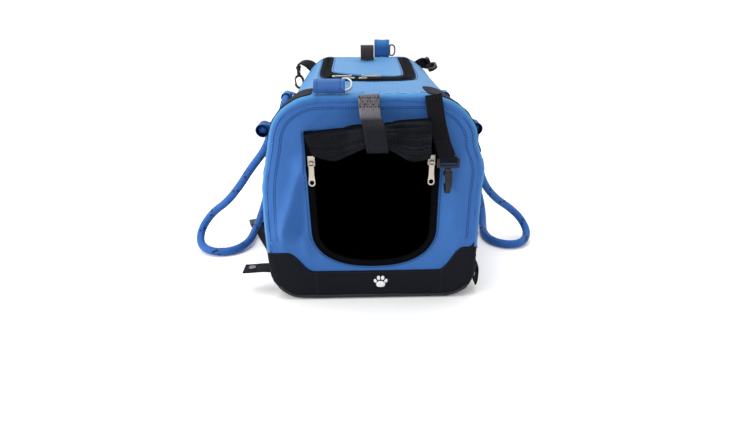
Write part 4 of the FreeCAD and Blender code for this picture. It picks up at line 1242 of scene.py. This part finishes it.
def paw():
    """A plain paw print: one pad and four toes."""
    lo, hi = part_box("paw_badge")
    centre = (lo + hi) / 2
    around = 28
    a = np.linspace(0, 2 * math.pi, around, endpoint=False)
    verts, faces = [], []
    for dx, dz, rx, rz, turn in ((0, -0.0042, 0.0062, 0.0050, 0), (-0.0073, 0.0012, 0.0021, 0.0030, 0.35),
                                 (-0.0028, 0.0056, 0.0023, 0.0034, 0.12), (0.0028, 0.0056, 0.0023, 0.0034, -0.12),
                                 (0.0073, 0.0012, 0.0021, 0.0030, -0.35)):
        first = len(verts) * around
        dent = 1 - (0.16 * bell(a, 1.5 * math.pi, 0.5) if turn == 0 else 0)
        for scale, lift in ((1, 0.0), (0.96, 0.0005), (0.6, 0.0008)):
            px, pz = np.cos(a) * rx * scale, np.sin(a) * rz * scale * dent
            verts.append(cols(centre.x + dx + px * math.cos(turn) - pz * math.sin(turn), -HALF_L - 0.0016 - lift,
                              centre.z + dz + px * math.sin(turn) + pz * math.cos(turn)))
        *sides, _, top = tube_faces(3, around)
        faces += [tuple(first + k for k in face) for face in (*sides, top)]
    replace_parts(make_mesh("paw_print", np.vstack(verts), faces, None, [PRINT]), "paw_badge")


def floor_pad():
    """A stuffed pad: the closed block swells under cloth pressure and is quilted across."""
    lo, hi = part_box("floor_pad")
    nx, ny = 26, 46
    size = nx * ny
    verts = [(x, y, z) for z in (lo.z + 0.0015, hi.z - 0.006) for y in np.linspace(lo.y + 0.004, hi.y - 0.004, ny)
             for x in np.linspace(lo.x + 0.004, hi.x - 0.004, nx)]
    faces = []
    for a in (j * nx + i for j in range(ny - 1) for i in range(nx - 1)):
        faces += [(a, a + nx, a + nx + 1, a + 1), (size + a, size + a + 1, size + a + nx + 1, size + a + nx)]
    rim = ([j * nx for j in range(ny)] + [(ny - 1) * nx + i for i in range(1, nx)]
           + [j * nx + nx - 1 for j in range(ny - 2, -1, -1)] + [i for i in range(nx - 2, 0, -1)])
    faces += [(a, a + size, b + size, b) for a, b in zip(rim, rim[1:] + rim[:1])]
    made = make_mesh("floor_cushion", verts, faces, [v[:2] for v in verts], [PLUSH_PAINTED_SHADE], body=None)
    remesh = made.modifiers.new("remesh", "REMESH")
    remesh.mode = "VOXEL"
    remesh.voxel_size = 0.0055
    apply_modifiers(made)
    swell(made, 3.0, 0.006)
    sub = made.modifiers.new("smooth", "SUBSURF")
    sub.levels = sub.render_levels = 1
    apply_modifiers(made)
    co = np.array([v.co for v in made.data.vertices])
    co[:, 2] = np.clip(co[:, 2], lo.z, hi.z + 0.004)
    for line in np.linspace(lo.y, hi.y, 6)[1:-1]:
        co[:, 2] -= np.where(co[:, 2] > (lo.z + hi.z) / 2, 0.005 * bell(co[:, 1], line, 0.006), 0)
    made.data.vertices.foreach_set("co", co.astype(np.float32).ravel())
    made.data.update()
    made.data.materials.clear()
    made.data.materials.append(PLUSH_PAINTED_SHADE)
    made.data.polygons.foreach_set("use_smooth", np.ones(len(made.data.polygons), bool))
    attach(made, ROOT)
    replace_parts(made, "floor_pad")


def apply_modifiers(made):
    bpy.context.view_layer.update()
    graph = bpy.context.evaluated_depsgraph_get()
    mesh = bpy.data.meshes.new_from_object(made.evaluated_get(graph))
    old = made.data
    made.modifiers.clear()
    made.data = mesh
    bpy.data.meshes.remove(old)


def swell(made, pressure, cap):
    """Cloth pressure with gravity off; no point moves further than cap."""
    start = np.array([v.co for v in made.data.vertices])
    cloth = made.modifiers.new("cloth", "CLOTH")
    cloth.settings.use_pressure = True
    cloth.settings.uniform_pressure_force = pressure
    cloth.settings.effector_weights.gravity = 0
    cloth.settings.quality = 5
    cloth.point_cache.frame_start = 1
    cloth.point_cache.frame_end = 20
    for at in range(1, 21):
        bpy.context.scene.frame_set(at)
    graph = bpy.context.evaluated_depsgraph_get()
    moved = np.array([v.co for v in made.evaluated_get(graph).data.vertices])
    made.modifiers.clear()
    step = moved - start
    step *= np.minimum(1, cap / np.maximum(np.linalg.norm(step, axis=1, keepdims=True), 1e-9))
    made.data.vertices.foreach_set("co", (start + step).astype(np.float32).ravel())
    made.data.update()
    bpy.context.scene.frame_set(1)


# ---------------------------------------------------------------- CAD pieces that keep their shape
def finish_cad():
    kinds = {
        "_bail": PLASTIC, "_hook": PLASTIC, "_gate": PLASTIC, "_slider": NICKEL, "_puller": NICKEL, "_ring": CHROME,
        "_stud": CHROME, "_frame": SPRING, "_board": BOARD, "_clip": PLASTIC,
    }
    for name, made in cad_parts.items():
        for ending, material in kinds.items():
            if name.endswith(ending):
                made.data.materials.clear()
                made.data.materials.append(material)
    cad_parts["rear_right_ring"].data.materials[0] = DARK_METAL


studio()
rope_handle("left", left_route)
rope_handle("right", right_route)
for build in (body_panels, base_panels, seams, patches, edge_rolls, bottom_binding, hoop_linings, doorway_zip,
              door_roll, roll_strap, top_hatch, carry_straps, tabs, tunnels, snaps_and_floor_strap, paw, floor_pad,
              finish_cad):
    build()
